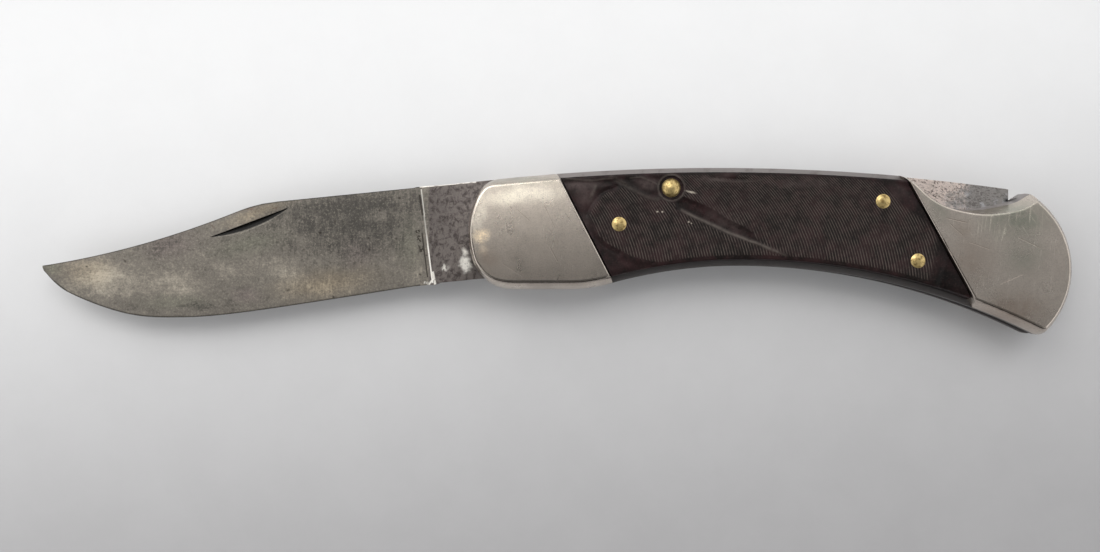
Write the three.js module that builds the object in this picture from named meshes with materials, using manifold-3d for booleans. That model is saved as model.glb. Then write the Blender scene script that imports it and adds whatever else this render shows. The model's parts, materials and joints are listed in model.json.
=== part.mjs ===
// Folding hunting knife with a back lock, shown open.
// Millimetres. +X runs from the blade's tip to the butt, +Y from the cutting edge to the back, and +Z out
// of the marked side, the side with the nail nick. Every place is measured from the blade's pivot, in the
// middle of the blade's thickness, until the last lines set the knife down on its pile side.

import * as THREE from "three";
import { mergeVertices } from "three/addons/utils/BufferGeometryUtils.js";
import Module from "manifold-3d";

const wasm = await Module();
wasm.setup();

// Layers across the knife
const BLADE_THICKNESS = 3.0;
const SIDE_CLEARANCE = 0.05; // on each side of the blade and the lock bar
const LINER_THICKNESS = 1.5;
const BOLSTER_THICKNESS = 4.05;
const COVER_RECESS = 0.6; // the covers' faces lie below the bolsters' faces

// Handle outline
const NOSE_REACH = 13.5; // pivot to the front end
const NOSE_RADIUS = 18;
const NOSE_TOP_CORNER = 2.6;
const NOSE_LOWER_CORNER = 5.2;
const FLOOR_DROP = 11.7; // straight lower edge of the front bolsters
const FLOOR_BEND = 4.5; // where the straight edge turns up into the belly's arch
const BACK_RISE = 13.75; // highest point of the back
const BACK_PEAK = 38.5;
const BACK_RADIUS = 445;
const ARCH_DROP = 6.75; // narrowest place of the belly
const ARCH_PEAK = 44;
const ARCH_FRONT_RADIUS = 105;
const ARCH_REAR_RADIUS = 137;
const BUTT_CENTRE_X = 93.5;
const BUTT_CENTRE_Y = -7.5;
const BUTT_RADIUS = 19.1;
const HEEL_CORNER = 1.8;

// Crown of the bolsters: how far their faces are drawn in from the outline
const CROWN_BACK = 1.4;
const CROWN_BELLY = 1.4;
const CROWN_NOSE = 0.65;
const CROWN_BUTT = 1.65;
const CROWN_POWER = 1.5;
const COVER_LEDGE_BACK = 1.1; // the liners' edges that show beyond the covers
const COVER_LEDGE_BELLY = 1.2;
const COVER_DRAFT = 0.1;
const COVER_EDGE = 0.45; // rounded edge of the covers' faces

// Seams between the covers and the bolsters, leaning forward at the back
const FRONT_SEAM = 11.4;
const FRONT_SEAM_LEAN = 27.2;
const REAR_SEAM = 83.6;
const REAR_SEAM_LEAN = 28.9;
const SEAM_GAP = 0.3;

// Blade
const TIP_REACH = 104.1;
const TIP_DROP = 6.75;
const TIP_BLUNT = 1.1; // height of the worn tip's end
const CLIP_CORNER_X = -58.5;
const CLIP_CORNER_RISE = 6.35;
const CLIP_CORNER_BLEND = 4;
const CLIP_HOLLOW = 1.55;
const SPINE_SLOPE = 0.1;
const EDGE_TIP_BEND_X = -99;
const EDGE_TIP_BEND_DROP = 12.35;
const EDGE_FRONT_X = -87.1;
const EDGE_FRONT_DROP = 16.8;
const EDGE_DEEPEST_X = -76;
const EDGE_DEEPEST_DROP = 17.75;
const EDGE_MIDDLE_X = -60.25;
const EDGE_MIDDLE_DROP = 16.5;
const PLUNGE_X = -23.4;
const PLUNGE_LENGTH = 1.5;
const PLUNGE_LEAN = 2.1; // its foot is this much nearer the handle than its top
const EDGE_HEEL_DROP = 10.85;
const GRIND_LAND = 1.3;
const TIP_THICKNESS = 1.3;
const EDGE_BEVEL = 0.8;
const EDGE_SHOULDER = 0.5;
const EDGE_THICKNESS = 0.12;
const BLADE_STATIONS = 56;

// Nail nick, a crescent in the marked side of the blade
const NICK_FRONT_X = -68.7;
const NICK_FRONT_Y = -0.8;
const NICK_REAR_X = -51.4;
const NICK_REAR_Y = 5.65;
const NICK_WIDTH = 1.6;
const NICK_DEPTH = 0.75;

// Tang
const TANG_RADIUS = 8.9;
const NOTCH_DEPTH = 0.6;
const NOTCH_WALL_X = 3.2; // front wall of the notch, against which the lock bar's tooth bears
const NOTCH_END_ANGLE = 49;
const KICK_ANGLE = -122;
const KICK_FRONT_X = -9.5;
const KICK_FRONT_DROP = 9.4;
const RICASSO_HEEL_DROP = 10.4;
const RICASSO_DROP = 9.65;
const RICASSO_X = -12.5;
const TANG_RISE_X = -9.5; // from here the tang's back rises to lie flush with the handle's back

// Lock bar
const TOOTH_GAP = 0.3; // between the tooth and the notch's front wall
const TOOTH_LIFT = 0.2; // between the tooth and the tang's round
const TOOTH_LENGTH = 2.7;
const BAR_ARCH_Y = 9.6;
const BAR_ARCH_END = 11.5;
const BAR_BELLY_Y = 7.3;
const BAR_BELLY_START = 15;
const BAR_BELLY_END = 36;
const BAR_HEIGHT = 6.2;
const BAR_SLIM_START = 44;
const BAR_TAIL_X = 100.5;
const BAR_TAIL_CORNER = 1.8;
const BAR_HEEL_START = 80; // from here the bar deepens, so that its heel stands below the thumb scoop
const BAR_HEEL_FULL = 88;
const BAR_HEEL_Y = 2.4;

// Pins
const FIT = 0.05; // radial clearance of each pin in its holes
const PIVOT_PIN_RADIUS = 2.4;
const ROCKER_PIN_X = 28.7;
const ROCKER_PIN_Y = 9.3;
const ROCKER_PIN_RADIUS = 1.2;
const ROCKER_HEAD_RADIUS = 1.95;
const ROCKER_HEAD_HEIGHT = 1.0;
const COUNTERBORE_RADIUS = 2.5;
const COUNTERBORE_DEPTH = 0.5;
const RIVET_RADIUS = 0.9;
const RIVET_HEAD_RADIUS = 1.5;
const RIVET_HEAD_HEIGHT = 0.58;
const FRONT_RIVET_X = 17.9;
const FRONT_RIVET_Y = 1.8;
const UPPER_RIVET_X = 72.4;
const UPPER_RIVET_Y = 6.5;
const LOWER_RIVET_X = 79.6;
const LOWER_RIVET_Y = -5.8;
const BUTT_PIN_RADIUS = 1.5;
const UPPER_BUTT_PIN_X = 106.4;
const UPPER_BUTT_PIN_Y = -1.5;
const LOWER_BUTT_PIN_X = 108;
const LOWER_BUTT_PIN_Y = -12;
const BLIND_DEPTH = 2.5; // depth of the hidden pins in the bolsters
const PIN_SIDES = 24;

// Thumb scoop in the rear bolsters and liners, over the lock bar's tail
const SCOOP_START_X = 76.4;
const SCOOP_START_Y = 12.6;
const SCOOP_SHOULDER_X = 79.3;
const SCOOP_SHOULDER_Y = 9.8;
const SCOOP_FALL_X = 82.5;
const SCOOP_FALL_Y = 6.95;
const SCOOP_TURN_X = 86.7;
const SCOOP_TURN_Y = 4.93;
const SCOOP_FLOOR_X = 93.5;
const SCOOP_FLOOR_Y = 3.78;
const SCOOP_REAR_X = 100.3;
const SCOOP_REAR_Y = 4.65;
const CUSP_X = 103.8;
const CUSP_Y = 6.4;
const CUSP_DRAFT = 2.1; // the scoop's wall leans outwards by this much at the cusp
const DRAFT_START_X = 86; // and by less in front of it, from nothing here
const DRAFT_FULL_X = 100;

// Butt spacer and its leaf spring
const SPACER_FRONT_X = 102.3; // behind the lock bar's tail
const SPACER_NOSE_X = 96;
const SPACER_NOSE_TOP = -1.3;
const SPACER_NOSE_DEPTH = 3;
const TIP_CLEARANCE = 0.65;
const TIP_POCKET_ANGLE = -6;
const SPACER_RECESS = 2; // its lower edge lies inside the belly
const LEAF_THICKNESS = 0.9;
const LEAF_WIDTH = 2.6;
const LEAF_Y = -2.7;
const LEAF_TAIL_X = 104;
const LEAF_BEND_X = 91.5;
const LEAF_TIP_X = 86;
const LEAF_TIP_GAP = 0.2;
const LEAF_SLOT_CLEARANCE = 0.1;

// Heights above the blade's middle plane
const bladeFace = BLADE_THICKNESS / 2;
const linerInner = bladeFace + SIDE_CLEARANCE;
const linerOuter = linerInner + LINER_THICKNESS;
const bolsterFace = linerOuter + BOLSTER_THICKNESS;
const coverFace = bolsterFace - COVER_RECESS;

const backCircle = { x: BACK_PEAK, y: BACK_RISE - BACK_RADIUS, r: BACK_RADIUS };
const noseCircle = { x: NOSE_RADIUS - NOSE_REACH, y: 0, r: NOSE_RADIUS };
const archFront = { x: ARCH_PEAK, y: -ARCH_DROP - ARCH_FRONT_RADIUS, r: ARCH_FRONT_RADIUS };
const archRear = { x: ARCH_PEAK, y: -ARCH_DROP - ARCH_REAR_RADIUS, r: ARCH_REAR_RADIUS };
const buttCircle = { x: BUTT_CENTRE_X, y: BUTT_CENTRE_Y, r: BUTT_RADIUS };

const finishes = {
  blade: new THREE.MeshStandardMaterial({ color: 0x8a8378, roughness: 0.42, metalness: 0.9 }),
  lockBar: new THREE.MeshStandardMaterial({ color: 0x8f8a84, roughness: 0.5, metalness: 0.9 }),
  liner: new THREE.MeshStandardMaterial({ color: 0x8b8a86, roughness: 0.4, metalness: 0.9 }),
  bolster: new THREE.MeshStandardMaterial({ color: 0xb9b2a4, roughness: 0.33, metalness: 0.95 }),
  cover: new THREE.MeshStandardMaterial({ color: 0x2b211e, roughness: 0.5, metalness: 0 }),
  pin: new THREE.MeshStandardMaterial({ color: 0xc2a352, roughness: 0.25, metalness: 1 }),
};

const at = (x, y) => new THREE.Vector2(x, y);
const radians = THREE.MathUtils.degToRad;

// Turns a closed geometry into a solid that can be cut and joined.
function toSolid(geometry) {
  const bare = geometry.index ? geometry.toNonIndexed() : geometry.clone();
  bare.deleteAttribute("normal");
  bare.deleteAttribute("uv");
  const merged = mergeVertices(bare, 1e-4);
  const triVerts = [];
  for (let i = 0; i < merged.index.count; i += 3) {
    const [a, b, c] = [0, 1, 2].map((k) => merged.index.getX(i + k));
    if (a !== b && b !== c && c !== a) triVerts.push(a, b, c);
  }
  return new wasm.Manifold(
    new wasm.Mesh({
      numProp: 3,
      vertProperties: merged.attributes.position.array,
      triVerts: new Uint32Array(triVerts),
    }),
  );
}

// Turns a solid into a named mesh with flat facets.
function toMesh(name, solid, material) {
  const { vertProperties, triVerts } = solid.getMesh();
  const geometry = new THREE.BufferGeometry();
  geometry.setAttribute("position", new THREE.BufferAttribute(new Float32Array(vertProperties), 3));
  geometry.setIndex(new THREE.BufferAttribute(new Uint32Array(triVerts), 1));
  const faceted = geometry.toNonIndexed();
  faceted.computeVertexNormals();
  const mesh = new THREE.Mesh(faceted, material);
  mesh.name = name;
  return mesh;
}

// Closed skin over rings of points that have the same count; caps lists the triangles of an end.
function skin(rings, caps) {
  const size = rings[0].length;
  const positions = rings.flat().flatMap((p) => [p.x, p.y, p.z]);
  const faces = [];
  for (let i = 0; i + 1 < rings.length; i += 1) {
    for (let j = 0; j < size; j += 1) {
      const next = (j + 1) % size;
      const [a, b] = [i * size + j, i * size + next];
      faces.push(a, b, b + size, a, b + size, a + size);
    }
  }
  const top = (rings.length - 1) * size;
  for (const [a, b, c] of caps) {
    faces.push(a, c, b);
    faces.push(top + a, top + b, top + c);
  }
  const geometry = new THREE.BufferGeometry();
  geometry.setAttribute("position", new THREE.Float32BufferAttribute(positions, 3));
  geometry.setIndex(faces);
  return geometry;
}

// Solid through outlines at rising heights. Every outline runs counterclockwise with the same count.
function stack(levels) {
  const rising = levels.slice().sort((a, b) => a.z - b.z);
  const rings = rising.map(({ z, ring }) => ring.map((p) => new THREE.Vector3(p.x, p.y, z)));
  return toSolid(skin(rings, THREE.ShapeUtils.triangulateShape(rising[0].ring, [])));
}

function prism(ring, low, high) {
  return stack([
    { z: low, ring },
    { z: high, ring },
  ]);
}

function arc(circle, from, to, steps) {
  const points = [];
  for (let i = 0; i <= steps; i += 1) {
    const angle = from + ((to - from) * i) / steps;
    points.push(at(circle.x + circle.r * Math.cos(angle), circle.y + circle.r * Math.sin(angle)));
  }
  return points;
}

const angleOn = (circle, point) => Math.atan2(point.y - circle.y, point.x - circle.x);

// Points along a circle between two of its points, the shorter way round.
function arcBetween(circle, start, end, steps) {
  const from = angleOn(circle, start);
  let turn = angleOn(circle, end) - from;
  if (turn > Math.PI) turn -= 2 * Math.PI;
  if (turn < -Math.PI) turn += 2 * Math.PI;
  return arc(circle, from, from + turn, steps);
}

// The point where two circles cross, on the left or the right of the line from the first to the second.
function crossing(a, b, side) {
  const apart = Math.hypot(b.x - a.x, b.y - a.y);
  const along = (a.r * a.r - b.r * b.r + apart * apart) / (2 * apart);
  const off = side * Math.sqrt(a.r * a.r - along * along);
  const [ux, uy] = [(b.x - a.x) / apart, (b.y - a.y) / apart];
  return at(a.x + along * ux - off * uy, a.y + along * uy + off * ux);
}

const heightOn = (circle, x) => circle.y + Math.sqrt(circle.r ** 2 - (x - circle.x) ** 2);
const backHeight = (x) => heightOn(backCircle, x);
const bellyHeight = (x) => heightOn(x < ARCH_PEAK ? archFront : archRear, x);

// Cuts a side back from its start by a distance.
function shorten(side, distance) {
  const corner = side[0];
  const rest = side.slice(1);
  while (rest.length > 1 && rest[0].distanceTo(corner) <= distance) rest.shift();
  const room = rest[0].distanceTo(corner);
  const start = corner.clone().lerp(rest[0], Math.min(distance / room, 0.9));
  return [start, ...rest];
}

// Joins sides that meet at sharp corners into one outline, each corner bent over the given distance.
function joinSides(sides, bends) {
  const outline = [];
  sides.forEach((side, i) => {
    const bendBefore = bends[i];
    const bendAfter = bends[(i + 1) % sides.length];
    let run = side;
    if (bendBefore > 0) run = shorten(run, bendBefore);
    if (bendAfter > 0) run = shorten(run.slice().reverse(), bendAfter).reverse();
    const previous = sides[(i + sides.length - 1) % sides.length];
    const before = bendBefore > 0 ? shorten(previous.slice().reverse(), bendBefore)[0] : null;
    if (before) {
      const bend = new THREE.QuadraticBezierCurve(before, side[0], run[0]);
      outline.push(...bend.getPoints(8).slice(1, -1));
    }
    outline.push(...(bendAfter > 0 ? run : run.slice(0, -1)));
  });
  return outline;
}

// Side view of the closed handle at its widest, counterclockwise from the butt.
function handleOutline() {
  const top = crossing(backCircle, buttCircle, 1);
  const noseTop = crossing(backCircle, noseCircle, 1);
  const noseAcross = Math.sqrt(NOSE_RADIUS ** 2 - FLOOR_DROP ** 2);
  const noseFoot = at(noseCircle.x - noseAcross, -FLOOR_DROP);
  const archAcross = Math.sqrt(archFront.r ** 2 - (-FLOOR_DROP - archFront.y) ** 2);
  const archFoot = at(ARCH_PEAK - archAcross, -FLOOR_DROP);
  const archTop = at(ARCH_PEAK, -ARCH_DROP);
  const heel = crossing(archRear, buttCircle, -1);
  const sides = [
    arcBetween(buttCircle, heel, top, 36),
    arcBetween(backCircle, top, noseTop, 30),
    arcBetween(noseCircle, noseTop, noseFoot, 20),
    [noseFoot, archFoot],
    [
      ...arcBetween(archFront, archFoot, archTop, 16),
      ...arcBetween(archRear, archTop, heel, 26).slice(1),
    ],
  ];
  return joinSides(sides, [HEEL_CORNER, 0, NOSE_TOP_CORNER, NOSE_LOWER_CORNER, FLOOR_BEND]);
}

// Draws an outline in. The back, the belly, the nose and the butt each have their own amount.
function inset(ring, { back, belly, nose, butt }) {
  return ring.map((point, i) => {
    const before = ring[(i + ring.length - 1) % ring.length];
    const after = ring[(i + 1) % ring.length];
    const [a, b] = [point.clone().sub(before).normalize(), after.clone().sub(point).normalize()];
    const along = a.clone().add(b).normalize();
    const outward = at(along.y, -along.x);
    const end = outward.x < 0 ? nose : butt;
    const side = outward.y < 0 ? belly : back;
    const amount = THREE.MathUtils.lerp(end, side, outward.y ** 4) / Math.max(along.dot(b), 0.7);
    return point.clone().addScaledVector(outward, -amount);
  });
}

const outline = handleOutline();

// Both scoop walls and the gap between them in one cutting tool.
function scoopTool() {
  const floor = [
    at(SCOOP_START_X, SCOOP_START_Y),
    at(SCOOP_SHOULDER_X, SCOOP_SHOULDER_Y),
    at(SCOOP_FALL_X, SCOOP_FALL_Y),
    at(SCOOP_TURN_X, SCOOP_TURN_Y),
    at(SCOOP_FLOOR_X, SCOOP_FLOOR_Y),
    at(SCOOP_REAR_X, SCOOP_REAR_Y),
    at(CUSP_X, CUSP_Y),
    at(CUSP_X + 3, CUSP_Y + 2),
  ];
  const face = new THREE.SplineCurve(floor).getPoints(36);
  const lift = BACK_RISE + 4;
  const slot = face.map((p) => {
    const share = THREE.MathUtils.clamp((p.x - DRAFT_START_X) / (DRAFT_FULL_X - DRAFT_START_X), 0, 1);
    return at(p.x, p.y + CUSP_DRAFT * Math.sin((share * Math.PI) / 2));
  });
  const lid = [at(CUSP_X + 3, lift), at(SCOOP_START_X, lift)];
  const outside = bolsterFace + 1;
  return stack([
    { z: -outside, ring: [...face, ...lid] },
    { z: -bolsterFace, ring: [...face, ...lid] },
    { z: -linerInner, ring: [...slot, ...lid] },
    { z: linerInner, ring: [...slot, ...lid] },
    { z: bolsterFace, ring: [...face, ...lid] },
    { z: outside, ring: [...face, ...lid] },
  ]);
}

const scoop = scoopTool();

// A round pin or hole along Z.
function round(x, y, radius, low, high) {
  const geometry = new THREE.CylinderGeometry(radius, radius, high - low, PIN_SIDES);
  geometry.rotateX(Math.PI / 2);
  geometry.translate(x, y, (low + high) / 2);
  return toSolid(geometry);
}

const throughHole = (x, y, radius) => round(x, y, radius + FIT, -bolsterFace - 1, bolsterFace + 1);

const blindLevel = linerOuter + BLIND_DEPTH;
const rivets = [
  { name: "front_rivet", x: FRONT_RIVET_X, y: FRONT_RIVET_Y },
  { name: "rear_upper_rivet", x: UPPER_RIVET_X, y: UPPER_RIVET_Y },
  { name: "rear_lower_rivet", x: LOWER_RIVET_X, y: LOWER_RIVET_Y },
];
const buttPins = [
  { name: "upper_butt_pin", x: UPPER_BUTT_PIN_X, y: UPPER_BUTT_PIN_Y },
  { name: "lower_butt_pin", x: LOWER_BUTT_PIN_X, y: LOWER_BUTT_PIN_Y },
];
const sides = [
  { name: "mark", sign: 1 },
  { name: "pile", sign: -1 },
];

function cut(solid, tools) {
  return tools.reduce((rest, tool) => rest.subtract(tool), solid);
}

// Everything on one side of a leaning seam: reach is where the seam crosses the pivot's level.
function besideSeam(reach, lean, towardsButt) {
  const far = 2 * (TIP_REACH + BUTT_CENTRE_X);
  const spread = far * Math.tan(radians(lean));
  const [low, high] = [at(reach + spread, -far), at(reach - spread, far)];
  const ring = towardsButt
    ? [low, at(2 * far + spread, -far), at(2 * far + spread, far), high]
    : [at(-2 * far - spread, -far), low, high, at(-2 * far - spread, far)];
  return prism(ring, -bolsterFace - 1, bolsterFace + 1);
}

const frontSeamStep = SEAM_GAP / Math.cos(radians(FRONT_SEAM_LEAN));
const rearSeamStep = SEAM_GAP / Math.cos(radians(REAR_SEAM_LEAN));

// Layer of one handle side that is drawn in towards its face.
function crownedLayer(sign) {
  const levels = [0, 0.3, 0.6, 0.85, 1].map((share) => {
    const drawn = share ** CROWN_POWER;
    const amounts = {
      back: CROWN_BACK * drawn,
      belly: CROWN_BELLY * drawn,
      nose: CROWN_NOSE * drawn,
      butt: CROWN_BUTT * drawn,
    };
    return { z: sign * (linerOuter + share * BOLSTER_THICKNESS), ring: inset(outline, amounts) };
  });
  return stack(levels);
}

function makeLiner(sign) {
  const [low, high] = [linerInner, linerOuter].map((z) => sign * z).sort((a, b) => a - b);
  return cut(prism(outline, low, high), [
    scoop,
    throughHole(0, 0, PIVOT_PIN_RADIUS),
    throughHole(ROCKER_PIN_X, ROCKER_PIN_Y, ROCKER_PIN_RADIUS),
    ...rivets.map((r) => throughHole(r.x, r.y, RIVET_RADIUS)),
    ...buttPins.map((p) => throughHole(p.x, p.y, BUTT_PIN_RADIUS)),
  ]);
}

function blindHole(x, y, radius, sign) {
  const [low, high] = [0, sign * (blindLevel + FIT)].sort((a, b) => a - b);
  return round(x, y, radius + FIT, low, high);
}

function makeFrontBolster(sign) {
  const body = crownedLayer(sign).intersect(besideSeam(FRONT_SEAM, FRONT_SEAM_LEAN, false));
  return cut(body, [blindHole(0, 0, PIVOT_PIN_RADIUS, sign)]);
}

function makeRearBolster(sign) {
  const body = crownedLayer(sign).intersect(besideSeam(REAR_SEAM, REAR_SEAM_LEAN, true));
  return cut(body, [scoop, ...buttPins.map((p) => blindHole(p.x, p.y, BUTT_PIN_RADIUS, sign))]);
}

function makeCover(sign) {
  const edge = coverFace - COVER_EDGE;
  const levels = [
    { z: linerOuter, drawn: 0 },
    { z: edge, drawn: COVER_DRAFT },
    { z: edge + COVER_EDGE * 0.7, drawn: COVER_DRAFT + COVER_EDGE * 0.3 },
    { z: coverFace, drawn: COVER_DRAFT + COVER_EDGE },
  ].map(({ z, drawn }) => {
    const [back, belly] = [COVER_LEDGE_BACK + drawn, COVER_LEDGE_BELLY + drawn];
    return { z: sign * z, ring: inset(outline, { back, belly, nose: belly, butt: belly }) };
  });
  const body = stack(levels)
    .intersect(besideSeam(FRONT_SEAM + frontSeamStep, FRONT_SEAM_LEAN, true))
    .intersect(besideSeam(REAR_SEAM - rearSeamStep, REAR_SEAM_LEAN, false));
  const [low, high] = [coverFace - COUNTERBORE_DEPTH, coverFace + 1].map((z) => sign * z).sort((a, b) => a - b);
  return cut(body, [
    scoop,
    round(ROCKER_PIN_X, ROCKER_PIN_Y, COUNTERBORE_RADIUS, low, high),
    throughHole(ROCKER_PIN_X, ROCKER_PIN_Y, ROCKER_PIN_RADIUS),
    ...rivets.map((r) => throughHole(r.x, r.y, RIVET_RADIUS)),
  ]);
}

// Half of a domed pin's profile, from the level of its head's seat up to its top.
function domeProfile(radius, seat, height) {
  const ball = (radius * radius + height * height) / (2 * height);
  const centre = seat + height - ball;
  const start = Math.asin(radius / ball);
  const points = [];
  for (let i = 0; i <= 5; i += 1) {
    const angle = start * (1 - i / 5);
    points.push(at(ball * Math.sin(angle), centre + ball * Math.cos(angle)));
  }
  return points;
}

function turned(profile, x, y) {
  const geometry = new THREE.LatheGeometry(profile, PIN_SIDES);
  geometry.rotateX(Math.PI / 2);
  geometry.translate(x, y, 0);
  return geometry;
}

function makeRivet(x, y, sign) {
  const profile = [
    at(0, linerInner),
    at(RIVET_RADIUS, linerInner),
    at(RIVET_RADIUS, coverFace),
    ...domeProfile(RIVET_HEAD_RADIUS, coverFace, RIVET_HEAD_HEIGHT),
  ];
  const geometry = turned(profile, 0, 0);
  if (sign < 0) geometry.rotateX(Math.PI);
  geometry.translate(x, y, 0);
  return toSolid(geometry);
}

function makeRockerPin() {
  const seat = coverFace - COUNTERBORE_DEPTH;
  const dome = domeProfile(ROCKER_HEAD_RADIUS, seat, ROCKER_HEAD_HEIGHT);
  const lower = dome.map((p) => at(p.x, -p.y)).reverse();
  const profile = [...lower, at(ROCKER_PIN_RADIUS, -seat), at(ROCKER_PIN_RADIUS, seat), ...dome];
  return toSolid(turned(profile, ROCKER_PIN_X, ROCKER_PIN_Y));
}

const clipLength = CLIP_CORNER_X + TIP_REACH;

// The hollow clip in front of the spine's corner, and the straight spine behind it.
function clipHeight(x) {
  const share = (x + TIP_REACH) / clipLength;
  const chord = THREE.MathUtils.lerp(-TIP_DROP, CLIP_CORNER_RISE, share);
  return chord - 4 * CLIP_HOLLOW * share * (1 - share);
}

const straightHeight = (x) => CLIP_CORNER_RISE + SPINE_SLOPE * (x - CLIP_CORNER_X);

// Height of the blade's spine, with its corner rounded by a curve that meets both lines smoothly.
function spineHeight(x) {
  const [start, end] = [CLIP_CORNER_X - CLIP_CORNER_BLEND, CLIP_CORNER_X + CLIP_CORNER_BLEND];
  if (x >= end) return straightHeight(x);
  if (x <= start) return clipHeight(x);
  const share = (x - start) / (end - start);
  const reach = (end - start) / 3;
  const slope = (clipHeight(start) - clipHeight(start - 0.1)) / 0.1;
  const heights = [
    clipHeight(start),
    clipHeight(start) + slope * reach,
    straightHeight(end) - SPINE_SLOPE * reach,
    straightHeight(end),
  ];
  const rest = 1 - share;
  const weights = [rest ** 3, 3 * share * rest ** 2, 3 * share ** 2 * rest, share ** 3];
  return weights.reduce((sum, weight, i) => sum + weight * heights[i], 0);
}

function edgeCurve() {
  return new THREE.SplineCurve([
    at(-TIP_REACH, -TIP_DROP - TIP_BLUNT),
    at(EDGE_TIP_BEND_X, -EDGE_TIP_BEND_DROP),
    at(EDGE_FRONT_X, -EDGE_FRONT_DROP),
    at(EDGE_DEEPEST_X, -EDGE_DEEPEST_DROP),
    at(EDGE_MIDDLE_X, -EDGE_MIDDLE_DROP),
    at(PLUNGE_X, -EDGE_HEEL_DROP),
  ]);
}

// Half of the blade's thickness at its spine.
function spineHalf(x) {
  const taper = THREE.MathUtils.clamp((CLIP_CORNER_X - x) / clipLength, 0, 1);
  return THREE.MathUtils.lerp(BLADE_THICKNESS, TIP_THICKNESS, taper) / 2;
}

// One section across the blade, from the spine round the edge and back. Ground is 1 on the ground
// blade and 0 on the full ricasso, and lean moves the section's foot towards the handle.
function bladeSection(x, edge, ground, lean) {
  const spine = spineHeight(x);
  const height = spine - edge;
  const half = spineHalf(x);
  const land = Math.min(GRIND_LAND, 0.35 * height);
  const bevel = Math.min(EDGE_BEVEL, 0.2 * height);
  const shoulder = THREE.MathUtils.lerp(half, Math.min(EDGE_SHOULDER / 2, half), ground);
  const keen = THREE.MathUtils.lerp(half, EDGE_THICKNESS / 2, ground);
  const right = [
    [spine, half],
    [spine - land, half],
    [edge + bevel, shoulder],
    [edge, keen],
  ];
  const left = right.map(([y, z]) => [y, -z]).reverse();
  const leaning = (y) => x + lean * ((spine - y) / height - 0.5);
  return [...right, ...left].map(([y, z]) => new THREE.Vector3(leaning(y), y, z));
}

const ricassoStart = PLUNGE_X + PLUNGE_LENGTH + PLUNGE_LEAN;

function groundBlade() {
  const sections = edgeCurve()
    .getPoints(BLADE_STATIONS)
    .map((p, i) => bladeSection(p.x, p.y, 1, i === BLADE_STATIONS ? PLUNGE_LEAN : 0));
  const heel = -EDGE_HEEL_DROP;
  sections.push(bladeSection(PLUNGE_X + PLUNGE_LENGTH / 2, heel, 0.45, PLUNGE_LEAN));
  sections.push(bladeSection(PLUNGE_X + PLUNGE_LENGTH, heel, 0, PLUNGE_LEAN));
  sections.push(bladeSection(ricassoStart, -RICASSO_HEEL_DROP, 0, 0));
  const caps = [1, 2, 3, 4, 5, 6].map((i) => [0, i, i + 1]);
  return toSolid(skin(sections, caps));
}

// Blank of the tang with its round, the lock notch and the kick, as thick as the blade.
function tangBlank() {
  const start = ricassoStart - 0.01;
  const tang = { x: 0, y: 0, r: TANG_RADIUS };
  const floor = { x: 0, y: 0, r: TANG_RADIUS - NOTCH_DEPTH };
  const wallAngle = Math.acos(NOTCH_WALL_X / floor.r);
  const ring = [
    at(start, -RICASSO_HEEL_DROP),
    at(RICASSO_X, -RICASSO_DROP),
    at(KICK_FRONT_X, -KICK_FRONT_DROP),
    ...arc(tang, radians(KICK_ANGLE), radians(NOTCH_END_ANGLE), 30),
    ...arc(floor, radians(NOTCH_END_ANGLE), wallAngle, 4),
    at(NOTCH_WALL_X, backHeight(NOTCH_WALL_X)),
    at(TANG_RISE_X, spineHeight(TANG_RISE_X)),
    at(start, spineHeight(start)),
  ];
  return prism(ring, -bladeFace, bladeFace);
}

// The nick's cutter: straight and deep along its upper side, running out along its lower side.
function nickTool() {
  const front = at(NICK_FRONT_X, NICK_FRONT_Y);
  const rear = at(NICK_REAR_X, NICK_REAR_Y);
  const along = rear.clone().sub(front).normalize();
  const down = at(along.y, -along.x);
  const above = 0.5;
  const surface = (point) => {
    const spine = spineHeight(point.x);
    const share = (spine - GRIND_LAND - point.y) / (spine - GRIND_LAND + EDGE_MIDDLE_DROP);
    return THREE.MathUtils.lerp(spineHalf(point.x), EDGE_SHOULDER / 2, Math.max(share, 0));
  };
  const rings = [];
  for (let i = 0; i <= 20; i += 1) {
    const share = i / 20;
    const swell = Math.max(1 - (2 * share - 1) ** 2, 0.01);
    const place = front.clone().lerp(rear, share);
    const low = place.clone().addScaledVector(down, NICK_WIDTH * swell);
    rings.push([
      new THREE.Vector3(low.x, low.y, bladeFace + above),
      new THREE.Vector3(low.x, low.y, surface(low)),
      new THREE.Vector3(place.x, place.y, surface(place) - NICK_DEPTH * swell),
      new THREE.Vector3(place.x, place.y, bladeFace + above),
    ]);
  }
  return toSolid(skin(rings, [[0, 1, 2], [0, 2, 3]]));
}

function makeBlade() {
  return cut(groundBlade().add(tangBlank()), [nickTool(), throughHole(0, 0, PIVOT_PIN_RADIUS)]);
}

// Underside of the lock bar behind its pivot's swelling, slim and then deeper at the heel.
function barUnderside(x) {
  const heelShare = THREE.MathUtils.smoothstep(x, BAR_HEEL_START, BAR_HEEL_FULL);
  return THREE.MathUtils.lerp(backHeight(x) - BAR_HEIGHT, BAR_HEEL_Y, heelShare);
}

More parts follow.
